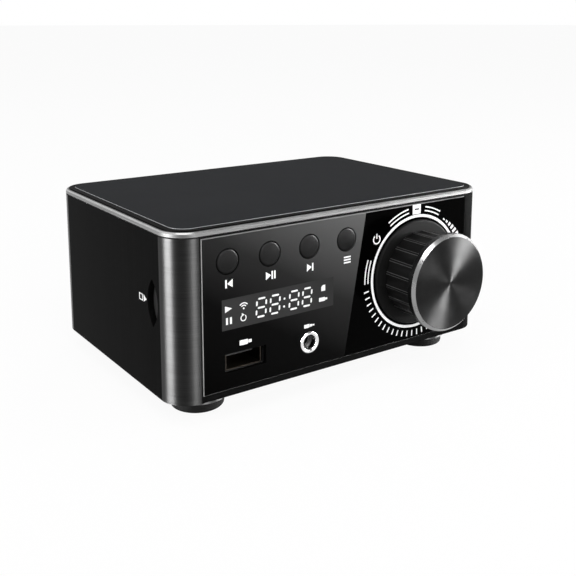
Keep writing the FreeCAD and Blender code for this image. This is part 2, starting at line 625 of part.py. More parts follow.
washer = turned("pot_washer", [
    ("bushing_radius + fit_gap", "0"), ("nut_across / 2 + 0.8", "0"),
    ("nut_across / 2 + 0.8", "washer_thickness"), ("bushing_radius + fit_gap", "washer_thickness")],
    DIAL, FRAME_FRONT, MIDHEIGHT, FORWARD)
nut = new_body("pot_hex", DIAL, f"{FRAME_FRONT} - washer_thickness", MIDHEIGHT, FORWARD)
hexagon = sketch_on(nut, "hexagon")
corner = "nut_across / 2 / cos(30 deg)"
outline(hexagon, [(f"{corner} * cos({60 * turn} deg)", f"{corner} * sin({60 * turn} deg)") for turn in range(6)])
circle(hexagon, "0", "0", "bushing_radius + fit_gap / 2")
pad(nut, hexagon, "nut_thickness")
group("pot_nut", [washer, nut])

# Storage socket: a folded steel shell round a contact tongue, on the main board
usb_front = f"({FRONT} + usb_setback)"
usb = new_body("usb_shell", USB_X, f"{usb_front} + usb_depth", f"{BASE} + usb_height", FORWARD)
usb_case = sketch_on(usb, "case")
rectangle(usb_case, "-usb_wide / 2", "usb_wide / 2", "-usb_tall / 2", "usb_tall / 2")
pad(usb, usb_case, "usb_depth")
usb_cavity = sketch_on(usb, "cavity", offset="usb_depth")
rectangle(usb_cavity, "-usb_wide / 2 + usb_wall", "usb_wide / 2 - usb_wall",
          "-usb_tall / 2 + usb_wall", "usb_tall / 2 - usb_wall")
pocket(usb, usb_cavity, "usb_depth - 2")

tongue = block("tongue_blade", f"{USB_X} - tongue_wide / 2", f"{usb_front} + usb_depth - 2 - tongue_length",
               f"{BASE} + usb_height + tongue_raise - tongue_thick / 2", "tongue_wide", "tongue_length",
               "tongue_thick")
contacts = [
    block(f"tongue_contact_{step}", f"{USB_X} + ({step} - 1.5) * 2.4 - 0.5",
          f"{usb_front} + usb_depth - 2 - tongue_length + 0.8",
          f"{BASE} + usb_height + tongue_raise - tongue_thick / 2 - 0.15", "1", "tongue_length - 0.8", "0.15")
    for step in range(4)]
group("usb_tongue", [tongue, *contacts])

# Line input: a bright ring in the fascia in front of the socket on the main board
turned("aux_ring", [
    ("aux_throat", "0"), ("aux_ring_radius", "0"), ("aux_ring_radius", "wall + frame_thickness + aux_ring_proud - 0.3"),
    ("aux_ring_radius - 0.3", "wall + frame_thickness + aux_ring_proud"),
    ("aux_throat + 0.4", "wall + frame_thickness + aux_ring_proud"),
    ("aux_throat", "wall + frame_thickness + aux_ring_proud - 0.4")],
    AUX_X, FRAME_BACK, f"{BASE} + aux_height", FORWARD)
aux_case = block("aux_case", f"{AUX_X} - aux_wide / 2", FRAME_BACK, BOARD_TOP, "aux_wide", "aux_depth",
                 f"({BASE} + aux_height - {BOARD_TOP}) * 2")
cut("aux_jack_body", aux_case, rod("aux_hole", AUX_X, FRAME_BACK, f"{BASE} + aux_height", "aux_bore",
                                   "aux_depth - 1", REARWARD))

# Memory card slot: a dished insert behind the lens-shaped hole, and the socket on the board
SLOT_Y = f"({FRONT} + slot_from_front)"
SLOT_Z = f"({BASE} + slot_height)"
INSERT_LEFT = f"({LEFT} + wall)"
insert_plate = block("insert_plate", INSERT_LEFT, f"{SLOT_Y} - scoop_wide / 2 - scoop_margin",
                     f"{SLOT_Z} - scoop_tall / 2 - scoop_margin", "scoop_floor",
                     "scoop_wide + 2 * scoop_margin", "scoop_tall + 2 * scoop_margin")
card_way = block("card_way", INSERT_LEFT, f"{CONTROL_BACK} + socket_thick / 2 - card_thick / 2",
                 f"{SLOT_Z} - card_long / 2", "scoop_floor", "card_thick", "card_long")
cut("card_scoop", insert_plate, card_way)
SOCKET_LEFT = f"({INSERT_LEFT} + scoop_floor)"
socket_case = block("socket_case", SOCKET_LEFT, CONTROL_BACK, f"{SLOT_Z} - socket_tall / 2",
                    "socket_deep", "socket_thick", "socket_tall")
socket_way = block("socket_way", SOCKET_LEFT, f"{CONTROL_BACK} + socket_thick / 2 - card_thick / 2",
                   f"{SLOT_Z} - card_long / 2", "socket_deep - 1", "card_thick", "card_long")
cut("card_socket", socket_case, socket_way)

# Main board on four standoffs
STANDOFF_X = "(case_width / 2 - standoff_side)"
STANDOFF_Y = "(case_depth / 2 - standoff_end)"
MAIN_LEFT = f"({LEFT} + board_side)"
MAIN_FRONT = f"({FRONT} + main_front)"
board_blank = block("board_blank", MAIN_LEFT, MAIN_FRONT, BOARD_BOTTOM, "case_width - 2 * board_side",
                    "case_depth - main_front - main_back", "board_thickness")
board_holes = []
standoffs = []
board_screws = []
for place_name, x_sign, y_sign in CORNERS:
    x = f"{x_sign}{STANDOFF_X}"
    y = f"{MIDDLE} {y_sign} {STANDOFF_Y}"
    board_holes.append(rod(f"board_hole_{place_name}", x, y, BOARD_BOTTOM, "screw_radius + fit_gap",
                           "board_thickness"))
    pillar = rod(f"pillar_{place_name}", x, y, FLOOR, "standoff_radius", f"{BOARD_BOTTOM} - {FLOOR}")
    thread = rod(f"pillar_bore_{place_name}", x, y, FLOOR, "screw_radius", f"{BOARD_BOTTOM} - {FLOOR}")
    standoffs.append(cut(f"standoff_{place_name}", pillar, thread))
    board_screws.append(screw(f"board_screw_{place_name}", x, y, BOARD_TOP,
                              f"board_thickness + {BOARD_BOTTOM} - {FLOOR} - 0.5", DOWNWARD))
cut("main_board", board_blank, *board_holes)
group("standoffs", standoffs)
group("main_board_screws", board_screws)

block("link_connector", "-link_wide / 2 + 4", CONTROL_BACK, BOARD_TOP, "link_wide", "link_thick", "link_tall")

# Amplifier chip under its heat sink, and the other large components on the main board
SINK_Y = f"({MIDDLE} - 2)"
block("amplifier_chip", "-chip_side / 2", f"{SINK_Y} + sink_deep / 2 - chip_side / 2", BOARD_TOP,
      "chip_side", "chip_side", "chip_height")
sink = new_body("heat_sink", "0", SINK_Y, f"{BOARD_TOP} + chip_height")
sink_plate = sketch_on(sink, "plate")
rectangle(sink_plate, "-sink_wide / 2", "sink_wide / 2", "0", "sink_deep")
pad(sink, sink_plate, "sink_base")
fin = sketch_on(sink, "fin", offset="sink_base")
rectangle(fin, "-sink_wide / 2", "-sink_wide / 2 + fin_thick", "0", "sink_deep")
fin_pad = pad(sink, fin, "sink_tall - sink_base")
repeat(sink, fin_pad, "LinearPattern", "fins", Direction=(origin_part(sink, "X_Axis"), [""]),
       Length="sink_wide - fin_thick", Occurrences="fin_count")

CAN_X = "(sink_wide / 2 + can_radius + 2)"
group("filter_capacitors", [
    rod(f"capacitor_{column}_{line}", f"{CAN_X} + {column} * can_pitch", f"{SINK_Y} - 4 + {line} * can_pitch",
        BOARD_TOP, "can_radius", "can_height")
    for column in range(2) for line in range(3)])
COIL_X = "(-sink_wide / 2 - 3 - coil_side)"
group("output_inductors", [
    block(f"inductor_{column}_{line}", f"{COIL_X} - {column} * coil_pitch", f"{SINK_Y} + {line} * coil_pitch",
          BOARD_TOP, "coil_side", "coil_side", "coil_height")
    for column in range(2) for line in range(2)])
RADIO_X = "(-sink_wide / 2 - module_wide - 3)"
RADIO_Y = f"({MAIN_FRONT} + 17)"
radio_board = block("radio_board", RADIO_X, RADIO_Y, BOARD_TOP, "module_wide", "module_long", "module_board")
radio_shield = block("radio_shield", f"{RADIO_X} + 1", f"{RADIO_Y} + 1", f"{BOARD_TOP} + module_board",
                     "module_wide - 2", "module_long - 7", "shield_height")
join("wireless_module", radio_board, radio_shield)

# Back panel: a painted sheet in the rear seat, with a hole for each socket
RCA_X = (f"({RIGHT} - rca_from_left)", f"({RIGHT} - rca_from_left - rca_pitch)")
RCA_Z = "rca_height"
DC_X = f"({LEFT} + dc_from_right)"
DC_Z = f"({BOARD_TOP} - {BASE} + dc_tall / 2)"
TERMINAL_X = "(-terminal_offset)"
TERMINAL_Z = "terminal_height"
rear = new_body("rear_panel", "0", f"{BACK} - fascia_thickness", BASE, REARWARD)
rear_plate = sketch_on(rear, "plate")
rectangle(rear_plate, f"{LEFT} + fascia_side", f"{RIGHT} - fascia_side", "fascia_bottom",
          "case_height - fascia_top")
for x in RCA_X:
    circle(rear_plate, f"-{x}", RCA_Z, "rca_radius + fit_gap")
rectangle(rear_plate, f"-{DC_X} - dc_wide / 2 - fit_gap", f"-{DC_X} + dc_wide / 2 + fit_gap",
          f"{DC_Z} - dc_tall / 2 - fit_gap", f"{DC_Z} + dc_tall / 2 + fit_gap")
rectangle(rear_plate, f"-{TERMINAL_X} - terminal_wide / 2 + terminal_body",
          f"-{TERMINAL_X} + terminal_wide / 2 - terminal_body",
          f"{TERMINAL_Z} - terminal_tall / 2 + terminal_body",
          f"{TERMINAL_Z} + terminal_tall / 2 - terminal_body")
REAR_SCREWS = [(f"{x_sign}(case_width / 2 - fascia_side - rear_hole)", z) for x_sign in "-+"
               for z in ("fascia_bottom + rear_hole", "case_height - fascia_top - rear_hole")]
for x, z in REAR_SCREWS:
    circle(rear_plate, x, z, "rear_screw_radius + fit_gap")
pad(rear, rear_plate, "fascia_thickness")
group("rear_panel_screws", [
    join(f"rear_screw_{index}",
         rod(f"rear_shank_{index}", x, f"{BACK} - fascia_thickness", f"{BASE} + {z}",
             "rear_screw_radius", "fascia_thickness", REARWARD),
         rod(f"rear_head_{index}", x, BACK, f"{BASE} + {z}", "rear_head_radius", "rear_head_height",
             REARWARD))
    for index, (x, z) in enumerate(REAR_SCREWS)])

# Line sockets: two sleeves round coloured cores, on one box behind the panel
BOX_FACE = f"({BACK} - fascia_thickness)"
block("rca_housing", f"{RCA_X[1]} - rca_pitch / 2", f"{BOX_FACE} - rca_box_deep",
      f"{BASE} + {RCA_Z} - rca_box_tall / 2", "2 * rca_pitch", "rca_box_deep", "rca_box_tall")
sleeves = []
for name, x in zip(("right", "left"), RCA_X):
    sleeves.append(turned(f"sleeve_{name}", [
        ("rca_radius - rca_wall", "0"), ("rca_radius", "0"),
        ("rca_radius", "fascia_thickness + jack_reach - 0.4"),
        ("rca_radius - 0.4", "fascia_thickness + jack_reach"),
        ("rca_radius - rca_wall", "fascia_thickness + jack_reach")],
        x, BOX_FACE, f"{BASE} + {RCA_Z}", REARWARD))
    core = turned(f"core_{name}", [
        ("rca_bore", "0"), ("rca_radius - rca_wall - fit_gap", "0"),
        ("rca_radius - rca_wall - fit_gap", "fascia_thickness + jack_reach - rca_set_in"),
        ("rca_bore", "fascia_thickness + jack_reach - rca_set_in")],
        x, BOX_FACE, f"{BASE} + {RCA_Z}", REARWARD)
    collar = turned(f"collar_{name}", [
        ("rca_radius + fit_gap", "0"), ("rca_collar_radius", "0"),
        ("rca_collar_radius", "rca_collar - 0.3"), ("rca_collar_radius - 0.3", "rca_collar"),
        ("rca_radius + fit_gap", "rca_collar")], x, BACK, f"{BASE} + {RCA_Z}", REARWARD)
    group(f"rca_insert_{name}", [core, collar])
group("rca_sleeves", sleeves)

# Power inlet: a moulded block with a round socket and a centre pin
dc_case = block("dc_case", f"{DC_X} - dc_wide / 2", f"{BACK} - dc_depth", BOARD_TOP, "dc_wide", "dc_depth",
                "dc_tall")
dc_hole = rod("dc_hole", DC_X, BACK, f"{BASE} + {DC_Z}", "dc_bore", "dc_bore_depth", FORWARD)
cut("dc_jack", dc_case, dc_hole)
rod("dc_pin", DC_X, f"{BACK} - dc_bore_depth", f"{BASE} + {DC_Z}", "dc_pin", "dc_bore_depth - 0.8", REARWARD)

# Speaker terminals: a moulded block with four wire holes, and four sprung levers on one pin
PLATE_OUT = f"({BACK} + terminal_plate)"
PIN_Y = f"({PLATE_OUT} + pin_out)"
PIN_Z = f"({BASE} + {TERMINAL_Z} + pin_raise)"
EAR_WIDE = "(way_pitch - lever_wide - 2 * ear_gap)"
plate = block("terminal_flange", f"{TERMINAL_X} - terminal_wide / 2", BACK,
              f"{BASE} + {TERMINAL_Z} - terminal_tall / 2", "terminal_wide", "terminal_plate", "terminal_tall")
core = block("terminal_core", f"{TERMINAL_X} - terminal_wide / 2 + terminal_body + fit_gap",
             f"{BACK} - terminal_depth", f"{BASE} + {TERMINAL_Z} - terminal_tall / 2 + terminal_body + fit_gap",
             "terminal_wide - 2 * terminal_body - 2 * fit_gap", "terminal_depth",
             "terminal_tall - 2 * terminal_body - 2 * fit_gap")
ears = [
    block(f"ear_{step}", f"{TERMINAL_X} + ({step} - 2) * way_pitch - {EAR_WIDE} / 2", PLATE_OUT,
          f"{PIN_Z} - eye_radius", EAR_WIDE, "pin_out + eye_radius", "2 * eye_radius")
    for step in range(5)]
pin_length = f"(4 * way_pitch + {EAR_WIDE})"
pin_left = f"({TERMINAL_X} - {pin_length} / 2)"
pin_bore = rod("ear_bore", pin_left, PIN_Y, PIN_Z, "pin_radius", pin_length, RIGHTWARD)
wire_bores = [
    rod(f"wire_bore_{step}", f"{TERMINAL_X} + ({step} - 1.5) * way_pitch", PLATE_OUT,
        f"{BASE} + {TERMINAL_Z} - wire_drop", "wire_radius", "terminal_plate + terminal_depth - 2", FORWARD)
    for step in range(4)]
cut("terminal_block", join("terminal_blank", plate, core, *ears), pin_bore, *wire_bores)
rod("terminal_hinge_pin", pin_left, PIN_Y, PIN_Z, "pin_radius", pin_length, RIGHTWARD)

for step in range(4):
    lever = new_body(f"speaker_lever_{step + 1}", f"{TERMINAL_X} + ({step} - 1.5) * way_pitch - lever_wide / 2",
                     PIN_Y, PIN_Z)
    blade = sketch_on(lever, "blade", "YZ_Plane")
    half = "lever_thick / 2"
    lean_sine = "sin(lever_lean * 1 deg)"
    lean_cosine = "cos(lever_lean * 1 deg)"
    outline(blade, [
        (f"-{half} * {lean_cosine}", f"{half} * {lean_sine}"),
        (f"{half} * {lean_cosine}", f"-{half} * {lean_sine}"),
        (f"lever_long * {lean_sine} + {half} * {lean_cosine}", f"lever_long * {lean_cosine} - {half} * {lean_sine}"),
        (f"lever_long * {lean_sine} - {half} * {lean_cosine}", f"lever_long * {lean_cosine} + {half} * {lean_sine}")])
    pad(lever, blade, "lever_wide")
    eye = sketch_on(lever, "eye", "YZ_Plane")
    circle(eye, "0", "0", "eye_radius - 0.1")
    pad(lever, eye, "lever_wide")
    bore = sketch_on(lever, "bore", "YZ_Plane", "lever_wide")
    circle(bore, "0", "0", "pin_radius + pin_gap")
    pocket(lever, bore, "lever_wide")

document.recompute()

# Each node's file takes its name from the object that holds the finished piece
NODES = [
    "case_shell", "top_bezel", "lid", "top_panel", "bottom_plate", "corner_posts", "case_screws",
    *(f"foot_{corner_name}" for corner_name, _, _ in CORNERS), "foot_pads", "foot_screws",
    "front_frame", "front_fascia", "display_window", "display_module", "control_board",
    "control_board_screws", *(f"button_{name}" for name in BUTTONS), "switch_bases",
    "dial_disc", "knob_body", "knob_cap", "pot_shaft", "pot_body", "pot_bushing", "pot_nut",
    "usb_shell", "usb_tongue", "aux_jack_body", "aux_ring", "card_scoop", "card_socket",
    "main_board", "standoffs", "main_board_screws", "link_connector", "amplifier_chip", "heat_sink",
    "filter_capacitors", "output_inductors", "wireless_module", "rear_panel", "rear_panel_screws",
    "rca_housing", "rca_sleeves", "rca_insert_left", "rca_insert_right", "dc_jack", "dc_pin",
    "terminal_block", "terminal_hinge_pin", *(f"speaker_lever_{step + 1}" for step in range(4)),
]

faults = [item.Name for item in document.Objects if {"Invalid", "Error"} & set(item.State)]
for item in document.Objects:
    if item.TypeId == "PartDesign::Pocket":
        base_volume = item.BaseFeature.Shape.Volume
        if not item.Shape.Volume < base_volume - 1e-6:
            faults.append(f"{item.Name} cuts nothing")
for name in NODES:
    shape = document.getObject(name).Shape
    if shape.isNull() or not shape.isValid() or not shape.Solids:
        faults.append(f"{name} has no valid solid")
if faults:
    raise RuntimeError(", ".join(faults))

os.makedirs("parts", exist_ok=True)
for name in NODES:
    node = document.getObject(name)
    node.Label = name
    node.Shape.exportStep(f"parts/{name}.step")
print(f"{len(NODES)} nodes written")
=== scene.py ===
from math import cos, pi, radians, sin

import bmesh
import bpy
from mathutils import Matrix, Vector


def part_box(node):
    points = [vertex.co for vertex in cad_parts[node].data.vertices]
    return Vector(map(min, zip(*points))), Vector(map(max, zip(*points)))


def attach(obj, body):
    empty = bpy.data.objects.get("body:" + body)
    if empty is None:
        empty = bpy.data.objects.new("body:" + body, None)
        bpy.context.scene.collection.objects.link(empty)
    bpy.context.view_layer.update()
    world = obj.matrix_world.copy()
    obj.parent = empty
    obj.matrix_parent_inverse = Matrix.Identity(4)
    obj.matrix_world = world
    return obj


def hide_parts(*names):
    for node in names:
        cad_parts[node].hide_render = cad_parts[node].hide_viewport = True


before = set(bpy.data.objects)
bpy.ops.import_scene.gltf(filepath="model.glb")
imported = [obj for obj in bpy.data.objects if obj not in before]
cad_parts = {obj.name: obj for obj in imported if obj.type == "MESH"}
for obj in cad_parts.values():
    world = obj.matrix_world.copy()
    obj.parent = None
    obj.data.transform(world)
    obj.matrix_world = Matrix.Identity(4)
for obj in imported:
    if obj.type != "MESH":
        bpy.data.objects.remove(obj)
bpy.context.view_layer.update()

# ---- case sleeve ---------------------------------------------------------------------------------
# The sleeve is one aluminium extrusion cut to height and anodised black, so fine draw lines run up
# its walls. Its cut edges are tumbled to a narrow soft round. Its two curved corners at the left
# get a lighter dark metal gloss that the right corners lack, a painted sheen for the light there.

BLACK_ANODISE = "090909", "0f0f0f"
CORNER_SHEEN_TONES = "222222", "2a2a2a"
PATCH_LOW, PATCH_HIGH = 0.35, 0.65
GLOSS_SPREAD = 0.15
RELIEF_DEPTH = 0.00003
MERGE = 0.000002
FLAT_ANGLE = 0.5
BRUSH_STRETCH = 0.9
WALL_TILT, SQUARE_ON = 0.1, 0.9995


def tone(code):
    """The linear colour of a six figure display colour."""
    parts = [int(code[i:i + 2], 16) / 255 for i in (0, 2, 4)]
    return [(p / 12.92 if p < 0.04045 else ((p + 0.055) / 1.055) ** 2.4) for p in parts] + [1.0]


def add(material, kind, values=None, **settings):
    node = material.node_tree.nodes.new("ShaderNode" + kind)
    for key, value in (values or {}).items():
        node.inputs[key].default_value = value
    for key, value in settings.items():
        setattr(node, key, value)
    return node


def join(material, source, output, target, socket):
    material.node_tree.links.new(source.outputs[output], target.inputs[socket])


def ramp(material, source, output, stops):
    node = add(material, "ValToRGB")
    elements = node.color_ramp.elements
    while len(elements) < len(stops):
        elements.new(0.5)
    for element, (position, code) in zip(elements, stops):
        element.position = position
        element.color = tone(code)
    join(material, source, output, node, "Fac")
    return node


def finish(name, colours, roughness, metallic=0.0, specular=0.3, mottle=60.0, stretch=(1, 1, 1),
           grain=0.15, grain_scale=4000.0, edge=0.0001):
    """A finish whose tone and gloss wander a little over the piece, with a fine grain in relief."""
    material = bpy.data.materials.new(name)
    material.use_nodes = True
    shader = material.node_tree.nodes["Principled BSDF"]
    shader.inputs["Metallic"].default_value = metallic
    shader.inputs["Specular IOR Level"].default_value = specular
    place = add(material, "TexCoord")
    stretched = add(material, "Mapping", {"Scale": stretch})
    patches = add(material, "TexNoise", {"Scale": mottle, "Detail": 5.0, "Roughness": 0.6})
    fine = add(material, "TexNoise", {"Scale": grain_scale, "Detail": 2.0})
    gloss = add(material, "MapRange", {"To Min": roughness * (1 - GLOSS_SPREAD),
                                       "To Max": roughness * (1 + GLOSS_SPREAD)})
    relief = add(material, "Bump", {"Strength": grain, "Distance": RELIEF_DEPTH})
    join(material, place, "Object", stretched, "Vector")
    join(material, stretched, "Vector", patches, "Vector")
    join(material, stretched, "Vector", fine, "Vector")
    shade = ramp(material, patches, "Fac", [(PATCH_LOW, colours[0]), (PATCH_HIGH, colours[1])])
    shade.name = "shade"
    join(material, shade, "Color", shader, "Base Color")
    join(material, patches, "Fac", gloss, "Value")
    join(material, gloss, "Result", shader, "Roughness")
    join(material, fine, "Fac", relief, "Height")
    join(material, relief, "Normal", shader, "Normal")
    if edge:
        soft_edge = add(material, "Bevel", {"Radius": edge}, samples=4)
        join(material, soft_edge, "Normal", relief, "Normal")
    return material


def dress(material, *nodes):
    """Gives whole parts that keep their own shape a finish."""
    for node in nodes:
        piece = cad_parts[node]
        if not piece.material_slots:
            piece.data.materials.append(material)
        for slot in piece.material_slots:
            slot.material = material


def piece_from(bm, name, body, slot, *materials):
    """A new piece from a bmesh, which rides on a body."""
    mesh = bpy.data.meshes.new(name)
    bm.to_mesh(mesh)
    bm.free()
    for material in materials:
        mesh.materials.append(material)
    piece = bpy.data.objects.new(name, mesh)
    bpy.context.scene.collection.objects.link(piece)
    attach(piece, body)
    return piece


def merged(node):
    """A copy of a loose mesh with its doubles merged and its flat faces joined."""
    bm = bmesh.new()
    bm.from_mesh(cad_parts[node].data)
    bmesh.ops.remove_doubles(bm, verts=bm.verts, dist=MERGE)
    bmesh.ops.dissolve_limit(bm, angle_limit=radians(FLAT_ANGLE), verts=bm.verts, edges=bm.edges)
    return bm


def sharp_edges(bm, angle=40):
    return [e for e in bm.edges if e.is_manifold and e.calc_face_angle(0) > radians(angle)]


def rounded(bm, edges, width, segments=2):
    """Rounds edges over, or chamfers them with one segment, and gives back the new faces."""
    return bmesh.ops.bevel(bm, geom=edges, offset=width, offset_type="OFFSET", segments=segments,
                           profile=0.5, affect="EDGES", material=-1, clamp_overlap=True)["faces"]


def shade_smooth(piece, angle=35):
    for polygon in piece.data.polygons:
        polygon.use_smooth = True
    piece.data.set_sharp_from_angle(angle=radians(angle))


def brushed_upright(name, colours, roughness):
    """Dark metal with fine level scratches, which draw every highlight out upright."""
    material = finish(name, colours, roughness, metallic=1.0, mottle=4500,
                      stretch=(0.02, 0.02, 1), grain=0.0, edge=0)
    shader = material.node_tree.nodes["Principled BSDF"]
    shader.inputs["Anisotropic"].default_value = BRUSH_STRETCH
    along = add(material, "CombineXYZ", {"Z": 1.0})
    join(material, along, "Vector", shader, "Tangent")
    return material


anodised = finish("anodised", BLACK_ANODISE, 0.4, specular=0.005, mottle=900, stretch=(1, 1, 0.02),
                  grain=0.25, grain_scale=3000)
left_corner_sheen = brushed_upright("painted_corner_sheen", CORNER_SHEEN_TONES, 0.42)
bm = merged("case_shell")
# the curved walls at the left take the second finish: a painted sheen standing in for the light on
# that side
for face in bm.faces:
    at_left = face.calc_center_median().x < 0
    upright = abs(face.normal.z) < WALL_TILT
    curved = max(abs(face.normal.x), abs(face.normal.y)) < SQUARE_ON
    face.material_index = int(at_left and upright and curved)
sleeve = piece_from(bm, "case_sleeve", "case", "anodised_black", anodised, left_corner_sheen)
shade_smooth(sleeve)
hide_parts("case_shell")

# ---- floor plate, corner posts and case screws ---------------------------------------------------
# The floor is a stamped steel plate with a row of vents, powder coated with a fine orange peel.
# Turned and nickelled posts tie it to the lid, and black pan head screws hold it from below.

powder = finish("powder_coat", ("0c0c0c", "161616"), 0.55, specular=0.1, grain=0.5,
                grain_scale=2500)
nickel = finish("nickel", ("8f8d88", "b5b3ad"), 0.28, metallic=1.0, mottle=400,
                stretch=(1, 1, 6), grain=0.1)
black_oxide = finish("black_oxide", ("101010", "1e1d1c"), 0.4, metallic=0.6, mottle=1500)
dress(powder, "bottom_plate")
dress(nickel, "corner_posts")
dress(black_oxide, "case_screws", "foot_screws", "rear_panel_screws")

# ---- top rim, lid and top panel ------------------------------------------------------------------
# The rim is an aluminium frame with brushed flats and two chamfers cut bright by a diamond tool.
# The lid drops into it, black at its border, with a satin dark grey sheet bonded on the middle.
# The chamfers of the lid and of the sheet are a lighter grey, painted highlights along their edges.

FACE_ON, ASLANT = 0.95, 0.2
UP = Vector((0, 0, 1))

bright_cut = finish("bright_cut", ("9c9c9c", "ababab"), 0.25, metallic=0.9, mottle=200,
                    grain=0.0, edge=0)
brushed_flat = finish("brushed_flat", ("464646", "525252"), 0.42, metallic=0.8, mottle=500,
                      stretch=(0.1, 0.1, 6), grain=0.03, edge=0)


def bright_cut_or_highlight(bm, axis, aslant=ASLANT):
    """Gives leaning chamfers the second finish: a bright cut on the rim, a painted highlight
    elsewhere.
    """
    for face in bm.faces:
        face.material_index = int(aslant < abs(face.normal.dot(axis)) <= FACE_ON)


bm = merged("top_bezel")
bright_cut_or_highlight(bm, UP)
rim = piece_from(bm, "top_rim", "case", "bright_cut_rim", brushed_flat, bright_cut)
shade_smooth(rim)
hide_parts("top_bezel")

lid_finish = finish("lid_black", ("030303", "060606"), 0.5, specular=0.01, grain=0.2)
# lighter grey chamfers on the lid and the sheet: painted highlights along their edges
lid_edge_highlight = finish("lid_edge_highlight", ("5c5c5c", "747474"), 0.4, metallic=0.5, grain=0.1)
panel_finish = finish("top_satin", ("2a2b2d", "2f3032"), 0.7, specular=0.01, mottle=25,
                      grain=0.35, grain_scale=6000)
panel_edge_highlight = finish("panel_edge_highlight", ("8a8c8e", "9a9c9e"), 0.4, specular=0.3, grain=0.1)
for node, name, slot, face, highlight_face in (
        ("lid", "lid_plate", "lid_black", lid_finish, lid_edge_highlight),
        ("top_panel", "top_sheet", "top_grey", panel_finish, panel_edge_highlight)):
    bm = merged(node)
    bright_cut_or_highlight(bm, UP)
    plate = piece_from(bm, name, "case", slot, face, highlight_face)
    shade_smooth(plate)
    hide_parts(node)

# ---- feet ----------------------------------------------------------------------------------------
# Each foot is a moulded ring with a dark metallic gloss and fine lines round it, and is screwed to
# the floor plate. A matt rubber pad with a rounded rim is pressed in below.

NARROW_ROUND = 0.00018

foot_gloss = brushed_upright("foot_gloss", ("484848", "505050"), 0.36)
rubber = finish("foot_rubber", ("070707", "0d0d0d"), 0.6, specular=0.05, mottle=500, grain=0.5,
                grain_scale=2500)
for node in ("foot_rear_left", "foot_rear_right", "foot_front_left", "foot_front_right"):
    bm = merged(node)
    rounded(bm, sharp_edges(bm), NARROW_ROUND)
    foot = piece_from(bm, node + "_ring", "case", "foot_black", foot_gloss)
    shade_smooth(foot)
    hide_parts(node)
bm = merged("foot_pads")
pads = piece_from(bm, "foot_rubbers", "case", "foot_rubber", rubber)
shade_smooth(pads)
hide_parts("foot_pads")

# ---- front frame and fascia ----------------------------------------------------------------------
# The fascia is clear acrylic printed black on its back, with a grey fade over its left part and
# plain black round the dial. Its edge is milled to a narrow bevel all round, coloured light grey
# as a painted highlight.

MM = 0.001
FADE = (0.02, "030303"), (0.36, "0b0b0b"), (0.6, "272727"), (1.0, "626262")
FADE_LEFT, FADE_RIGHT = -55.5 * MM, 8.0 * MM
FADE_LOW, FADE_HIGH = 9.5 * MM, 59.2 * MM
FADE_ACROSS, FADE_UP = 0.42, 0.58
DIVIDE_HIGH, DIVIDE_LOW = (8.2 * MM, 59.5 * MM), (-0.7 * MM, 9.5 * MM)
EDGE_BEVEL, BORDER_REACH = 0.0003, 0.00005
BEVEL_ASLANT = 0.3
FORWARD = Vector((0, 1, 0))

frame_black = finish("frame_black", ("0b0b0b", "151515"), 0.5, grain=0.4)
dress(frame_black, "front_frame")

acrylic = finish("acrylic", ("010101", "020202"), 0.12, specular=0.012, mottle=20, grain=0.0,
                 edge=0)
shader = acrylic.node_tree.nodes["Principled BSDF"]
place = add(acrylic, "TexCoord")
parts = add(acrylic, "SeparateXYZ")
across = add(acrylic, "MapRange", {"From Min": FADE_LEFT, "From Max": FADE_RIGHT,
                                   "To Max": FADE_ACROSS})
upward = add(acrylic, "MapRange", {"From Min": FADE_LOW, "From Max": FADE_HIGH,
                                   "To Max": FADE_UP})
summed = add(acrylic, "Math", operation="ADD")
divide = add(acrylic, "MapRange", {"From Min": DIVIDE_LOW[1], "From Max": DIVIDE_HIGH[1],
                                   "To Min": DIVIDE_LOW[0], "To Max": DIVIDE_HIGH[0]},
             clamp=False)
beyond = add(acrylic, "Math", operation="GREATER_THAN")
two_tone = add(acrylic, "Mix", data_type="RGBA")
join(acrylic, place, "Object", parts, "Vector")
join(acrylic, parts, "X", across, "Value")
join(acrylic, parts, "Z", upward, "Value")
join(acrylic, across, "Result", summed, 0)
join(acrylic, upward, "Result", summed, 1)
join(acrylic, parts, "Z", divide, "Value")
join(acrylic, parts, "X", beyond, 0)
join(acrylic, divide, "Result", beyond, 1)
join(acrylic, beyond, "Value", two_tone, "Factor")
fade = ramp(acrylic, summed, "Value", FADE)
acrylic.node_tree.links.new(fade.outputs["Color"], two_tone.inputs[6])
acrylic.node_tree.links.new(acrylic.node_tree.nodes["shade"].outputs["Color"], two_tone.inputs[7])
acrylic.node_tree.links.new(two_tone.outputs[2], shader.inputs["Base Color"])

low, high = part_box("front_fascia")
front = low.y


def on_border(vert):
    near_side = min(abs(vert.co.x - low.x), abs(vert.co.x - high.x)) < BORDER_REACH
    near_end = min(abs(vert.co.z - low.z), abs(vert.co.z - high.z)) < BORDER_REACH
    return abs(vert.co.y - front) < BORDER_REACH and (near_side or near_end)


bm = merged("front_fascia")
border = [e for e in sharp_edges(bm) if on_border(e.verts[0]) and on_border(e.verts[1])]
rounded(bm, border, EDGE_BEVEL, 1)
bright_cut_or_highlight(bm, FORWARD, BEVEL_ASLANT)
# the bevel faces are a light grey metal: a painted highlight round the fascia's edge
fascia_edge_highlight = finish("fascia_edge_highlight", ("9a9a9a", "c4c4c4"), 0.25, metallic=0.7, grain=0.05, edge=0)
fascia = piece_from(bm, "fascia_sheet", "case", "fascia_acrylic", acrylic, fascia_edge_highlight)
shade_smooth(fascia)
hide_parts("front_fascia")

# ---- display -------------------------------------------------------------------------------------
# A smoked window closes the opening for the display module behind it. Four slanted digits, the
# colon and small signs for playback, radio link, repeat, card and stick show as lit white marks.

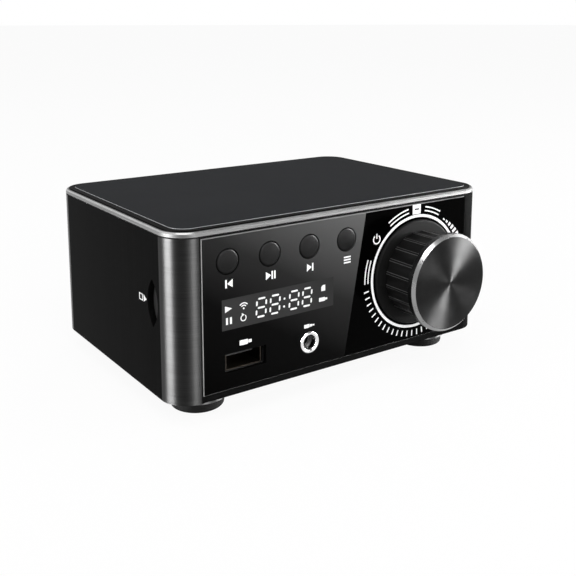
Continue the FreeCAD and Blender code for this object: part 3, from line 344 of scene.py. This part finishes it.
INK = 0.00004
ARC_STEP, FEWEST_STEPS = 2.5, 3
DISC_SEGMENTS = 20
DIGIT_LEFTS = -36.2, -31.0, -23.6, -18.4
DIGIT_WIDE, DIGIT_LOW, DIGIT_TALL = 3.5, 31.1, 5.9
DIGIT_STROKE, DIGIT_GAP, DIGIT_JOINT = 0.6, 0.36, 0.62
DIGIT_SLANT = 0.06
COLON, COLON_DOT = ((-25.45, 35.2), (-25.6, 32.6)), 0.36
PLAY_SIGN = (-47.5, 34.8), (-45.0, 35.85), (-47.5, 36.9)
PAUSE_LEFTS, PAUSE_WIDE, PAUSE_LOW, PAUSE_HIGH = (-47.2, -45.8), 0.7, 30.9, 33.1
RADIO, RADIO_DOT, RADIO_WAVES, WAVE_THICK, WAVE_HALF = (-40.8, 35.0), 0.3, (0.85, 1.6), 0.35, 50
REPEAT, REPEAT_RING, REPEAT_SPAN = (-40.9, 31.95), (0.75, 1.1), (40, 330)
REPEAT_HEAD = (-41.5, 32.45), (-41.5, 33.6), (-40.5, 32.95)
CARD_SIGN = (-10.7, 34.9), (-9.1, 34.9), (-9.1, 36.9), (-10.1, 36.9), (-10.7, 36.3)
STICK_SIGN = (-11.6, -9.2, 31.4, 32.7), (-9.1, -8.2, 31.7, 32.4)

smoke = finish("smoked_window", ("303030", "353535"), 0.2, specular=0.02, mottle=30, grain=0.0,
               edge=0)
module_black = finish("module_black", ("0a0a0a", "131313"), 0.5)
dress(smoke, "display_window")
dress(module_black, "display_module")
ink = finish("white_ink", ("f4f4f4", "ffffff"), 0.5, specular=0.2, mottle=700, grain=0.1, edge=0)
lit = finish("lit_marks", ("e8e8e8", "f6f6f6"), 0.4, specular=0.2, mottle=900, grain=0.05, edge=0)


def raise_ink(bm, faces, normal=(0, -1, 0)):
    """Gives flat marks the thickness of a print."""
    out = bmesh.ops.extrude_face_region(bm, geom=faces)
    moved = [v for v in out["geom"] if isinstance(v, bmesh.types.BMVert)]
    bmesh.ops.translate(bm, verts=moved, vec=Vector(normal) * INK)


def mark(bm, points, plane, outward=-1):
    """A flat mark on the front, or on the back with outward 1, from corners in millimetres."""
    corners = [bm.verts.new((x * MM, plane, z * MM)) for x, z in points]
    raise_ink(bm, [bm.faces.new(corners)], (0, outward, 0))


def bar(bm, left, right, bottom, top, plane, outward=-1):
    """An upright rectangle of print."""
    mark(bm, [(left, bottom), (right, bottom), (right, top), (left, top)], plane, outward)


def arc(bm, centre, inner, outer, start, stop, plane, closed=False):
    """A band round a centre, from angles in degrees that start at the top and run clockwise."""
    x, z = centre
    angle = radians(start)
    ends = [bm.verts.new(((x + r * sin(angle)) * MM, plane, (z + r * cos(angle)) * MM))
            for r in (inner, outer)]
    steps = max(FEWEST_STEPS, int(abs(stop - start) / ARC_STEP))
    before = set(bm.faces)
    bmesh.ops.spin(bm, geom=ends + [bm.edges.new(ends)], cent=(x * MM, plane, z * MM),
                   axis=(0, 1, 0), dvec=(0, 0, 0), angle=radians(stop - start), steps=steps,
                   use_merge=closed)
    raise_ink(bm, [f for f in bm.faces if f not in before])


def disc(bm, centre, radius, plane):
    """A round dot of print."""
    x, z = centre
    turn = Matrix.Translation((x * MM, plane, z * MM)) @ Matrix.Rotation(pi / 2, 4, "X")
    made = bmesh.ops.create_circle(bm, cap_ends=True, segments=DISC_SEGMENTS, radius=radius * MM,
                                   matrix=turn)
    raise_ink(bm, list({f for v in made["verts"] for f in v.link_faces}))


def printed(bm, name, slot, material):
    """A piece of print on the case."""
    bmesh.ops.recalc_face_normals(bm, faces=bm.faces)
    return piece_from(bm, name, "case", slot, material)


def segment(bm, ends, width, lean, plane):
    """One lit bar of a digit with pointed ends; lean shifts its upper part."""
    (x0, z0), (x1, z1) = ends
    half = width / 2
    if abs(z1 - z0) < abs(x1 - x0):
        points = [(x0, z0), (x0 + half, z0 - half), (x1 - half, z1 - half), (x1, z1),
                  (x1 - half, z1 + half), (x0 + half, z0 + half)]
    else:
        points = [(x0, z0), (x0 + half, z0 + half), (x1 + half, z1 - half), (x1, z1),
                  (x1 - half, z1 - half), (x0 - half, z0 + half)]
    mark(bm, [(x + lean * z, z) for x, z in points], plane)


window_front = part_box("display_window")[0].y
bm = bmesh.new()
for left in DIGIT_LEFTS:
    middle, top = DIGIT_LOW + DIGIT_TALL / 2, DIGIT_LOW + DIGIT_TALL
    shift = left - DIGIT_SLANT * DIGIT_LOW
    for z in (DIGIT_LOW, middle, top):
        segment(bm, [(shift + DIGIT_GAP, z), (shift + DIGIT_WIDE - DIGIT_GAP, z)], DIGIT_STROKE,
                DIGIT_SLANT, window_front)
    for x in (shift, shift + DIGIT_WIDE):
        for z0, z1 in ((DIGIT_LOW, middle), (middle, top)):
            segment(bm, [(x, z0 + DIGIT_JOINT), (x, z1 - DIGIT_JOINT)], DIGIT_STROKE,
                    DIGIT_SLANT, window_front)
for spot in COLON:
    disc(bm, spot, COLON_DOT, window_front)
mark(bm, PLAY_SIGN, window_front)
for left in PAUSE_LEFTS:
    bar(bm, left, left + PAUSE_WIDE, PAUSE_LOW, PAUSE_HIGH, window_front)
disc(bm, RADIO, RADIO_DOT, window_front)
for radius in RADIO_WAVES:
    arc(bm, RADIO, radius, radius + WAVE_THICK, -WAVE_HALF, WAVE_HALF, window_front)
arc(bm, REPEAT, *REPEAT_RING, *REPEAT_SPAN, window_front)
mark(bm, REPEAT_HEAD, window_front)
mark(bm, CARD_SIGN, window_front)
for block in STICK_SIGN:
    bar(bm, *block, window_front)
printed(bm, "display_marks", "window_smoke", lit)

# ---- buttons, their switches and the control board -----------------------------------------------
# Four moulded caps sit flush in the fascia, each with a turned rim, over tactile switches on the
# control board. The signs under them are screen printed in white.

BUTTON_ROUND, BUTTON_REACH = 0.00025, 0.00002
TRACK_PITCH = 260.0
SIGN_LOW, SIGN_HIGH = 42.6, 45.2
SIGN_MIDDLE = (SIGN_LOW + SIGN_HIGH) / 2
BAR_WIDE = 0.55
PREVIOUS_BAR, PREVIOUS_HEAD = -47.3, (-46.6, -44.7)
PLAY_HEAD, PLAY_BARS = (-32.5, -30.6), (-30.4, -29.4)
NEXT_HEAD, NEXT_BAR = (-16.6, -14.7), -14.55
MODE_LEFT, MODE_RIGHT, MODE_BARS, MODE_THICK = -1.3, 1.6, (42.7, 43.65, 44.6), 0.5

button_finish = finish("button_cap", ("131313", "171717"), 0.42, specular=0.03, mottle=300,
                       grain=0.3)
for node in ("button_previous", "button_play", "button_next", "button_mode"):
    cap_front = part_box(node)[0].y
    bm = merged(node)
    face_rim = [e for e in sharp_edges(bm)
                if all(abs(v.co.y - cap_front) < BUTTON_REACH for v in e.verts)]
    rounded(bm, face_rim, BUTTON_ROUND)
    cap = piece_from(bm, node + "_cap", node, "button_black", button_finish)
    shade_smooth(cap)
    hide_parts(node)

switch_steel = finish("switch_steel", ("8a8986", "aaa9a5"), 0.3, metallic=1.0, mottle=700)
dress(switch_steel, "switch_bases")
tinned = finish("tinned_screws", ("a09d96", "c2c0b9"), 0.3, metallic=1.0, mottle=900)
dress(tinned, "control_board_screws", "main_board_screws", "standoffs")

# solder mask over copper tracks: the tracks are a net of cell borders, a shade lighter
mask_finish = finish("circuit_board", ("0a2414", "0e3019"), 0.35, specular=0.4, mottle=90)
tracks = add(mask_finish, "TexVoronoi", {"Scale": TRACK_PITCH}, feature="DISTANCE_TO_EDGE")
track_place = add(mask_finish, "TexCoord")
join(mask_finish, track_place, "Object", tracks, "Vector")
track_tone = ramp(mask_finish, tracks, "Distance", [(0.06, "1d5a2c"), (0.1, "0c2a16")])
join(mask_finish, track_tone, "Color", mask_finish.node_tree.nodes["Principled BSDF"],
     "Base Color")
dress(mask_finish, "control_board", "main_board")

bm = bmesh.new()
tip, back = PREVIOUS_HEAD
mark(bm, [(tip, SIGN_MIDDLE), (back, SIGN_LOW), (back, SIGN_HIGH)], front)
for back, tip in (PLAY_HEAD, NEXT_HEAD):
    mark(bm, [(back, SIGN_LOW), (tip, SIGN_MIDDLE), (back, SIGN_HIGH)], front)
for left in (PREVIOUS_BAR, *PLAY_BARS, NEXT_BAR):
    bar(bm, left, left + BAR_WIDE, SIGN_LOW, SIGN_HIGH, front)
for bottom in MODE_BARS:
    bar(bm, MODE_LEFT, MODE_RIGHT, bottom, bottom + MODE_THICK, front)
printed(bm, "button_signs", "fascia_acrylic", ink)

# ---- dial print and dial disc --------------------------------------------------------------------
# A white ring, double arcs, a row of ticks and a pointer mark are printed round the dial. A low
# black disc, turned with a chamfered rim, is bonded to the fascia behind the knob.

DIAL = 31.46, 34.5
RING = 19.8, 20.75
ARCS = (21.85, 22.3), (23.25, 23.7)
ARC_SPANS = (10, 29), (-34, -9.8), (-92, -70.7), (70.7, 92)
TICK_INNER, TICK_OUTER, TICK_HALF = 21.9, 24.0, 0.62
TICK_FIRST, TICK_STEP, TICK_COUNT = 97.8, 6.04, 28
POWER_ANGLE, POWER_RADIUS = -52.0, 23.4
POWER_RING, POWER_SPAN = (1.25, 1.7), (35, 325)
POWER_HALF, POWER_LOW, POWER_HIGH = 0.23, 0.3, 2.0
LEVEL_FIRST, LEVEL_STEP, LEVEL_COUNT, LEVEL_HALF = 38.0, 4.6, 6, 1.3
LEVEL_INNER, LEVEL_OUTER, LEVEL_RISE = 21.7, 22.2, 0.36
POINTER = 29.45, 33.3, 55.5, 58.9
POINTER_SLOT = 30.35, 32.55, 57.0, 57.55

bm = bmesh.new()
arc(bm, DIAL, *RING, 0, 360, front, closed=True)
for inner, outer in ARCS:
    for start, stop in ARC_SPANS:
        arc(bm, DIAL, inner, outer, start, stop, front)
for i in range(TICK_COUNT):
    middle = TICK_FIRST + i * TICK_STEP
    arc(bm, DIAL, TICK_INNER, TICK_OUTER, middle - TICK_HALF, middle + TICK_HALF, front)
# the power sign stands where the knob starts its turn, and rising bars where it ends
sign = (DIAL[0] + POWER_RADIUS * sin(radians(POWER_ANGLE)),
        DIAL[1] + POWER_RADIUS * cos(radians(POWER_ANGLE)))
arc(bm, sign, *POWER_RING, *POWER_SPAN, front)
bar(bm, sign[0] - POWER_HALF, sign[0] + POWER_HALF, sign[1] + POWER_LOW, sign[1] + POWER_HIGH,
    front)
for i in range(LEVEL_COUNT):
    middle = LEVEL_FIRST + i * LEVEL_STEP
    arc(bm, DIAL, LEVEL_INNER, LEVEL_OUTER + LEVEL_RISE * i, middle - LEVEL_HALF,
        middle + LEVEL_HALF, front)
left, right, bottom, top = POINTER
slot_left, slot_right, slot_low, slot_high = POINTER_SLOT
bar(bm, left, right, bottom, slot_low, front)
bar(bm, left, right, slot_high, top, front)
bar(bm, left, slot_left, slot_low, slot_high, front)
bar(bm, slot_right, right, slot_low, slot_high, front)
printed(bm, "dial_print", "fascia_acrylic", ink)

dial_finish = finish("dial_disc", ("0f0f0f", "151515"), 0.4, specular=0.03, mottle=120)
bm = merged("dial_disc")
dial = piece_from(bm, "dial_plate", "case", "dial_black", dial_finish)
shade_smooth(dial)
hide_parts("dial_disc")

# ---- knob ----------------------------------------------------------------------------------------
# The barrel is moulded with twenty shallow flutes for grip; the narrow rounds on its ridges are a
# lighter grey, a painted highlight. The cap is turned from aluminium and dyed dark: its face is
# spun with fine rings, and its chamfer is cut bright.

RIDGE_ANGLE, RIDGE_HALF, RIDGE_OUT, ALONG = 12, 0.00012, 13.5, 0.99
RING_PITCH, RING_STRENGTH, RING_DEPTH = 5200.0, 0.12, 0.00002
CUT_ASLANT = 0.3

barrel_finish = finish("knob_barrel", ("0f0f0f", "171717"), 0.36, specular=0.04, mottle=500,
                       stretch=(1, 0.2, 1), grain=0.2)
ridge_highlight = finish("barrel_ridge_highlight", ("3c3c3c", "4a4a4a"), 0.3, specular=0.3, mottle=900,
                      grain=0.1, edge=0)


def is_ridge(edge):
    """True for an edge that runs along the barrel, out at its flutes."""
    start, end = (vert.co for vert in edge.verts)
    out = (Vector((start.x, start.z)) - Vector(DIAL) * MM).length
    return abs((end - start).normalized().y) > ALONG and out > RIDGE_OUT * MM


bm = merged("knob_body")
ridges = [e for e in sharp_edges(bm, RIDGE_ANGLE) if is_ridge(e)]
# the rounded ridges take the lighter grey finish, a painted highlight along each ridge
for face in rounded(bm, ridges, RIDGE_HALF, 1):
    face.material_index = 1
barrel = piece_from(bm, "knob_barrel", "knob", "knob_black", barrel_finish, ridge_highlight)
shade_smooth(barrel, RIDGE_ANGLE)
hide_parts("knob_body")

spun = finish("spun_face", ("1b1b1b", "1f1f1f"), 0.31, metallic=1.0, mottle=300, grain=0.0, edge=0)
shader = spun.node_tree.nodes["Principled BSDF"]
shader.inputs["Anisotropic"].default_value = BRUSH_STRETCH
low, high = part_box("knob_cap")
centre = (low + high) / 2
place = add(spun, "TexCoord")
centred = add(spun, "Mapping", {"Location": (-centre.x, 0, -centre.z), "Scale": (1, 0, 1)})
level = add(spun, "VectorMath", operation="NORMALIZE")
turned = add(spun, "VectorTransform", vector_type="VECTOR", convert_from="OBJECT",
             convert_to="WORLD")
distance = add(spun, "VectorMath", operation="LENGTH")
rings = add(spun, "TexNoise", {"Scale": RING_PITCH, "Detail": 3.0}, noise_dimensions="1D")
groove = add(spun, "Bump", {"Strength": RING_STRENGTH, "Distance": RING_DEPTH})
# the fine rings run round, so each highlight is drawn out along the radius
join(spun, place, "Object", centred, "Vector")
join(spun, centred, "Vector", level, 0)
join(spun, level, "Vector", turned, "Vector")
join(spun, turned, "Vector", shader, "Tangent")
join(spun, centred, "Vector", distance, 0)
join(spun, distance, "Value", rings, "W")
join(spun, rings, "Fac", groove, "Height")
join(spun, groove, "Normal", shader, "Normal")

cap_side = finish("cap_side", ("060606", "0a0a0a"), 0.25, specular=0.15, mottle=500)
cap_cut = finish("cap_cut", ("828282", "8c8c8c"), 0.28, metallic=1.0, mottle=120, grain=0.0,
                 edge=0)
bm = merged("knob_cap")
for face in bm.faces:
    lean = -face.normal.y
    face.material_index = 0 if lean > FACE_ON else 1 if lean > CUT_ASLANT else 2
knob_top = piece_from(bm, "knob_cap_spun", "knob", "knob_face", spun, cap_cut, cap_side)
shade_smooth(knob_top, 25)
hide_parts("knob_cap")

# ---- potentiometer -------------------------------------------------------------------------------
# The knob turns a potentiometer: a steel shaft in a brass bushing with a nut against the frame,
# and a pressed case behind it.

shaft_steel = finish("shaft_steel", ("8d8b87", "a9a7a3"), 0.25, metallic=1.0, stretch=(1, 8, 1),
                     mottle=600)
pot_case = finish("pot_case", ("6f6d68", "86847e"), 0.4, metallic=0.9, mottle=200)
brass = finish("brass", ("9c7f45", "b89a5c"), 0.3, metallic=1.0, mottle=400)
dress(shaft_steel, "pot_shaft")
dress(pot_case, "pot_body")
dress(brass, "pot_bushing")
dress(nickel, "pot_nut")

# ---- front sockets -------------------------------------------------------------------------------
# The stick socket is a pressed steel shell round a moulded tongue with four gold contacts. The
# headphone size jack has a bright turned ring and a black moulded body.

CONTACT_COUNT, CONTACT_PITCH, CONTACT_HALF = 4, 2.3, 0.5
CONTACT_LONG, CONTACT_THICK, CONTACT_SETBACK = 7.0, 0.12, 0.6
CONTACT_ROUND = 0.00004
STICK_PRINT = (-42.4, -39.4, 23.2, 24.8), (-39.2, -38.0, 23.5, 24.5)
PLUG_PRINT = (-17.6, -15.5, 23.4, 24.6), (-15.35, -14.4, 23.6, 24.4), (-14.25, -13.5, 23.75, 24.25)

socket_steel = finish("socket_steel", ("2f2b27", "3f3a34"), 0.3, metallic=1.0, mottle=300,
                      edge=0.0002)
socket_black = finish("socket_black", ("080808", "101010"), 0.45)
gold = finish("gold", ("c79a3e", "e0b65a"), 0.25, metallic=1.0, mottle=900)
dress(socket_steel, "usb_shell")
dress(socket_black, "usb_tongue", "aux_jack_body")
low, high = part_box("usb_tongue")
bm = bmesh.new()
for i in range(CONTACT_COUNT):
    x = (low.x + high.x) / 2 / MM + (i - (CONTACT_COUNT - 1) / 2) * CONTACT_PITCH
    spot = Vector((x * MM, low.y + (CONTACT_SETBACK + CONTACT_LONG / 2) * MM, low.z))
    size = Matrix.Diagonal((2 * CONTACT_HALF * MM, CONTACT_LONG * MM, CONTACT_THICK * MM, 1))
    strip = bmesh.ops.create_cube(bm, size=1, matrix=Matrix.Translation(spot) @ size)
    edges = list({e for v in strip["verts"] for e in v.link_edges})
    rounded(bm, edges, CONTACT_ROUND)
piece_from(bm, "usb_contacts", "case", "socket_steel", gold)

chrome = finish("ring_chrome", ("dcdcdc", "f0f0f0"), 0.16, metallic=1.0, mottle=400, grain=0.03,
                edge=0)
bm = merged("aux_ring")
rounded(bm, sharp_edges(bm), NARROW_ROUND)
jack_ring = piece_from(bm, "aux_ring_turned", "case", "ring_chrome", chrome)
shade_smooth(jack_ring)
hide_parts("aux_ring")

# signs over the two sockets: a stick with its plug, and a plug on its sleeve
bm = bmesh.new()
for block in STICK_PRINT + PLUG_PRINT:
    bar(bm, *block, front)
printed(bm, "socket_signs", "fascia_acrylic", ink)

# ---- memory card slot ----------------------------------------------------------------------------
# A thumb scoop is milled through the left wall and lined with a moulded black insert, with the
# card's slot at its floor. A small printed arrow points at it from a frame.

ARROW_TIP, ARROW_LONG, ARROW_HALF, ARROW_HEIGHT = -23.9, 2.1, 1.2, 37.5
FRAME_OUTER, FRAME_INNER = (-21.2, -18.6, 36.4, 38.6), (-20.8, -19.0, 36.7, 38.3)

scoop_finish = finish("scoop", ("1a1a1a", "242424"), 0.35, specular=0.15, mottle=200)
bm = merged("card_scoop")
scoop = piece_from(bm, "card_scoop_insert", "case", "scoop_black", scoop_finish)
shade_smooth(scoop)
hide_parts("card_scoop")
dress(socket_steel, "card_socket")
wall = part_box("case_shell")[0].x


def wall_mark(bm, points):
    """A flat mark on the left wall, from corners in millimetres."""
    corners = [bm.verts.new((wall, y * MM, z * MM)) for y, z in points]
    raise_ink(bm, [bm.faces.new(corners)], (-1, 0, 0))


bm = bmesh.new()
wall_mark(bm, [(ARROW_TIP, ARROW_HEIGHT), (ARROW_TIP + ARROW_LONG, ARROW_HEIGHT + ARROW_HALF),
               (ARROW_TIP + ARROW_LONG, ARROW_HEIGHT - ARROW_HALF)])
near, far, bottom, top = FRAME_OUTER
inner_near, inner_far, inner_bottom, inner_top = FRAME_INNER
for y0, y1, z0, z1 in ((near, far, bottom, inner_bottom), (near, far, inner_top, top),
                       (near, inner_near, inner_bottom, inner_top),
                       (inner_far, far, inner_bottom, inner_top)):
    wall_mark(bm, [(y0, z0), (y1, z0), (y1, z1), (y0, z1)])
printed(bm, "card_arrow", "anodised_black", ink)

# ---- main board ----------------------------------------------------------------------------------
# The main board stands on posts and carries the amplifier chip under a finned heat sink, the
# filter capacitors in their sleeves, moulded coils, the radio module and the ribbon connector.

connector = finish("connector_white", ("c9c6bd", "dedbd2"), 0.5, mottle=200)
chip_black = finish("chip_black", ("101010", "191919"), 0.6, mottle=900, grain=0.4)
sink_alloy = finish("sink_aluminium", ("7d7e80", "9b9c9e"), 0.4, metallic=0.9, mottle=300,
                    stretch=(1, 0.05, 1))
can_sleeve = finish("capacitor_sleeve", ("10131c", "181d2b"), 0.3, mottle=150)
coil_grey = finish("inductor_grey", ("3c3c3c", "4c4c4c"), 0.6, mottle=900, grain=0.5)
shield_tin = finish("shield_tin", ("a3a29d", "bab9b4"), 0.3, metallic=1.0, mottle=200)
dress(connector, "link_connector")
dress(chip_black, "amplifier_chip")
dress(sink_alloy, "heat_sink")
dress(can_sleeve, "filter_capacitors")
dress(coil_grey, "output_inductors")
dress(shield_tin, "wireless_module")

# ---- back panel and its sockets ------------------------------------------------------------------
# A steel panel closes the back. It holds two line sockets with nickelled sleeves over red and white
# inserts, the power inlet, and a moulded block with four sprung levers for the speaker wires.

SLEEVE_ROUND, LEVER_ROUND = 0.0001, 0.00015
SIGN_TALL, SIGN_HALF, SIGN_STROKE_HALF = 49.0, 1.1, 0.22
INLET_SIGN_UP, INLET_HALF, INLET_DASHES, DASH_LONG = 2.5, 1.6, (-1.6, -0.4, 0.8), 0.8
LINE_SPAN, DASH_SPAN = (0.5, 0.9), (-0.5, -0.1)
BRACKET_IN, BRACKET_UP, BRACKET_THICK, BRACKET_DROP = 2, 4, 0.4, 1.5

insert_white = finish("insert_white", ("d4d2cb", "e6e4dd"), 0.35, mottle=200)
insert_red = finish("insert_red", ("8e1511", "a81d17"), 0.35, mottle=200)
terminal = finish("terminal_black", ("0d0d0d", "181818"), 0.45, grain=0.4, grain_scale=2500)
lever_red = finish("lever_red", ("9c1712", "b3201a"), 0.38, mottle=250)
lever_black = finish("lever_black", ("121212", "1d1d1d"), 0.38, mottle=250)
dress(powder, "rear_panel")
dress(socket_black, "rca_housing", "dc_jack")
dress(shaft_steel, "dc_pin", "terminal_hinge_pin")
dress(insert_white, "rca_insert_left")
dress(insert_red, "rca_insert_right")
bm = merged("rca_sleeves")
rounded(bm, sharp_edges(bm), SLEEVE_ROUND)
sleeves = piece_from(bm, "line_sleeves", "case", "nickel_nut", nickel)
shade_smooth(sleeves)
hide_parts("rca_sleeves")
dress(terminal, "terminal_block")
for number in (1, 2, 3, 4):
    node = f"speaker_lever_{number}"
    bm = merged(node)
    rounded(bm, sharp_edges(bm), LEVER_ROUND)
    slot, colour = ("lever_red", lever_red) if number % 2 else ("lever_black", lever_black)
    lever = piece_from(bm, f"lever_paddle_{number}", f"lever_{number}", slot, colour)
    shade_smooth(lever)
    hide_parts(node)

# plus and minus signs over the levers, a direct current sign over the inlet, and a bracket that
# pairs the two line sockets
panel_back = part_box("rear_panel")[1].y
bm = bmesh.new()
for number in (1, 2, 3, 4):
    low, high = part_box(f"speaker_lever_{number}")
    x = (low.x + high.x) / 2 / MM
    bar(bm, x - SIGN_HALF, x + SIGN_HALF, SIGN_TALL - SIGN_STROKE_HALF,
        SIGN_TALL + SIGN_STROKE_HALF, panel_back, 1)
    if number % 2:
        for z0, z1 in ((SIGN_STROKE_HALF, SIGN_HALF), (-SIGN_HALF, -SIGN_STROKE_HALF)):
            bar(bm, x - SIGN_STROKE_HALF, x + SIGN_STROKE_HALF, SIGN_TALL + z0, SIGN_TALL + z1,
                panel_back, 1)
low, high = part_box("dc_jack")
x, z = (low.x + high.x) / 2 / MM, high.z / MM + INLET_SIGN_UP
bar(bm, x - INLET_HALF, x + INLET_HALF, z + LINE_SPAN[0], z + LINE_SPAN[1], panel_back, 1)
for left in INLET_DASHES:
    bar(bm, x + left, x + left + DASH_LONG, z + DASH_SPAN[0], z + DASH_SPAN[1], panel_back, 1)
low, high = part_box("rca_sleeves")
left, right = low.x / MM + BRACKET_IN, high.x / MM - BRACKET_IN
z = high.z / MM + BRACKET_UP
bar(bm, left, right, z, z + BRACKET_THICK, panel_back, 1)
for x in (left, right - BRACKET_THICK):
    bar(bm, x, x + BRACKET_THICK, z - BRACKET_DROP, z, panel_back, 1)
printed(bm, "back_signs", "painted_steel", ink)

# ---- floor, lights and camera --------------------------------------------------------------------
# A pale floor runs out under a white surround, and two soft lamps light the object. Four cards show
# only in its gloss, one each for the left corner, the front, the rim and the knob's spun face.

FLOOR_REACH, FLOOR_GAP = 30.0, 0.00003
FLOOR_COLOUR, FLOOR_ROUGHNESS, FLOOR_GLOW = (0.9, 0.9, 0.9, 1), 0.9, 0.93
WHITE = 1, 1, 1, 1
SOFT_LEVEL = 0.4
FRONT_GLOSS, FRONT_END, BACK_START = 0.10, -0.35, 0.1
AIM = Vector((0, 0, 0.03))
LAMPS = (("above", (-0.4, -0.5, 1.3), (1.0, 1.0), 8.0, True),
         ("front", (-0.1, -1.2, 0.5), (0.6, 0.6), 6.0, True),
         ("strip_card", (-1.0, 0.10, 0.15), (0.5, 0.9), 190.0, False),
         ("front_card", (0.04, -1.1, 0.25), (0.36, 0.6), 30.0, False),
         ("high_card", (-0.14, -0.8, 0.85), (0.25, 0.25), 10.0, False),
         ("right_card", (0.95, -0.50, 0.20), (0.4, 0.6), 135.0, False))
CAMERA_PLACE = -0.17283, -0.25525, 0.12234
CAMERA_PITCH, CAMERA_YAW = 0.1765, 0.6088
CAMERA_LENS, CAMERA_SENSOR, CAMERA_SHIFT = 52.86, 36.0, -0.2
NEAREST = 0.01

scene = bpy.context.scene
floor_finish = bpy.data.materials.new("pale_floor")
floor_finish.use_nodes = True
shader = floor_finish.node_tree.nodes["Principled BSDF"]
shader.inputs["Base Color"].default_value = FLOOR_COLOUR
shader.inputs["Roughness"].default_value = FLOOR_ROUGHNESS
glow = add(floor_finish, "Emission", {"Color": WHITE, "Strength": 1.0})
path = add(floor_finish, "LightPath")
seen = add(floor_finish, "Math", operation="ADD", use_clamp=True)
through = add(floor_finish, "Math", operation="ADD", use_clamp=True)
share = add(floor_finish, "Math", {1: FLOOR_GLOW}, operation="MULTIPLY")
blend = add(floor_finish, "MixShader")
join(floor_finish, path, "Is Camera Ray", seen, 0)
join(floor_finish, path, "Is Glossy Ray", seen, 1)
join(floor_finish, seen, "Value", through, 0)
join(floor_finish, path, "Is Transmission Ray", through, 1)
join(floor_finish, through, "Value", share, 0)
join(floor_finish, share, "Value", blend, "Fac")
join(floor_finish, shader, "BSDF", blend, 1)
join(floor_finish, glow, "Emission", blend, 2)
join(floor_finish, blend, "Shader", floor_finish.node_tree.nodes["Material Output"], "Surface")
bm = bmesh.new()
bmesh.ops.create_grid(bm, x_segments=1, y_segments=1, size=FLOOR_REACH,
                      matrix=Matrix.Translation((0, 0, -FLOOR_GAP)))
mesh = bpy.data.meshes.new("floor")
bm.to_mesh(mesh)
bm.free()
mesh.materials.append(floor_finish)
floor = bpy.data.objects.new("floor", mesh)
scene.collection.objects.link(floor)

world = bpy.data.worlds.new("surround")
scene.world = world
world.use_nodes = True
background = world.node_tree.nodes["Background"]
background.inputs["Color"].default_value = WHITE
path = add(world, "LightPath")
place = add(world, "TexCoord")
parts = add(world, "SeparateXYZ")
behind = add(world, "MapRange", {"From Min": FRONT_END, "From Max": BACK_START,
                                 "To Min": FRONT_GLOSS})
mirror = add(world, "Math", operation="MAXIMUM")
seen = add(world, "Math", operation="MULTIPLY")
level = add(world, "Math", operation="MAXIMUM")
soft = add(world, "Math", {1: SOFT_LEVEL}, operation="MULTIPLY")
final = add(world, "Math", operation="MAXIMUM")
join(world, place, "Generated", parts, "Vector")
join(world, parts, "Y", behind, "Value")
join(world, path, "Is Glossy Ray", mirror, 0)
join(world, path, "Is Transmission Ray", mirror, 1)
join(world, mirror, "Value", seen, 0)
join(world, behind, "Result", seen, 1)
join(world, seen, "Value", level, 0)
join(world, path, "Is Camera Ray", level, 1)
join(world, path, "Is Diffuse Ray", soft, 0)
join(world, level, "Value", final, 0)
join(world, soft, "Value", final, 1)
join(world, final, "Value", background, "Strength")

for name, spot, (wide, tall), power, lights_all in LAMPS:
    lamp = bpy.data.lights.new(name, "AREA")
    lamp.shape = "RECTANGLE"
    lamp.size, lamp.size_y, lamp.energy = wide, tall, power
    holder = bpy.data.objects.new(name, lamp)
    holder.location = spot
    holder.visible_diffuse = lights_all
    holder.rotation_euler = (AIM - Vector(spot)).to_track_quat("-Z", "Y").to_euler()
    scene.collection.objects.link(holder)

camera = bpy.data.cameras.new("camera")
camera.sensor_width, camera.lens = CAMERA_SENSOR, CAMERA_LENS
camera.shift_y = CAMERA_SHIFT
camera.clip_start = NEAREST
viewpoint = bpy.data.objects.new("camera", camera)
viewpoint.location = CAMERA_PLACE
viewpoint.rotation_euler = (pi / 2 - CAMERA_PITCH, 0, -CAMERA_YAW)
scene.collection.objects.link(viewpoint)
scene.camera = viewpoint
scene.view_settings.view_transform = "Standard"
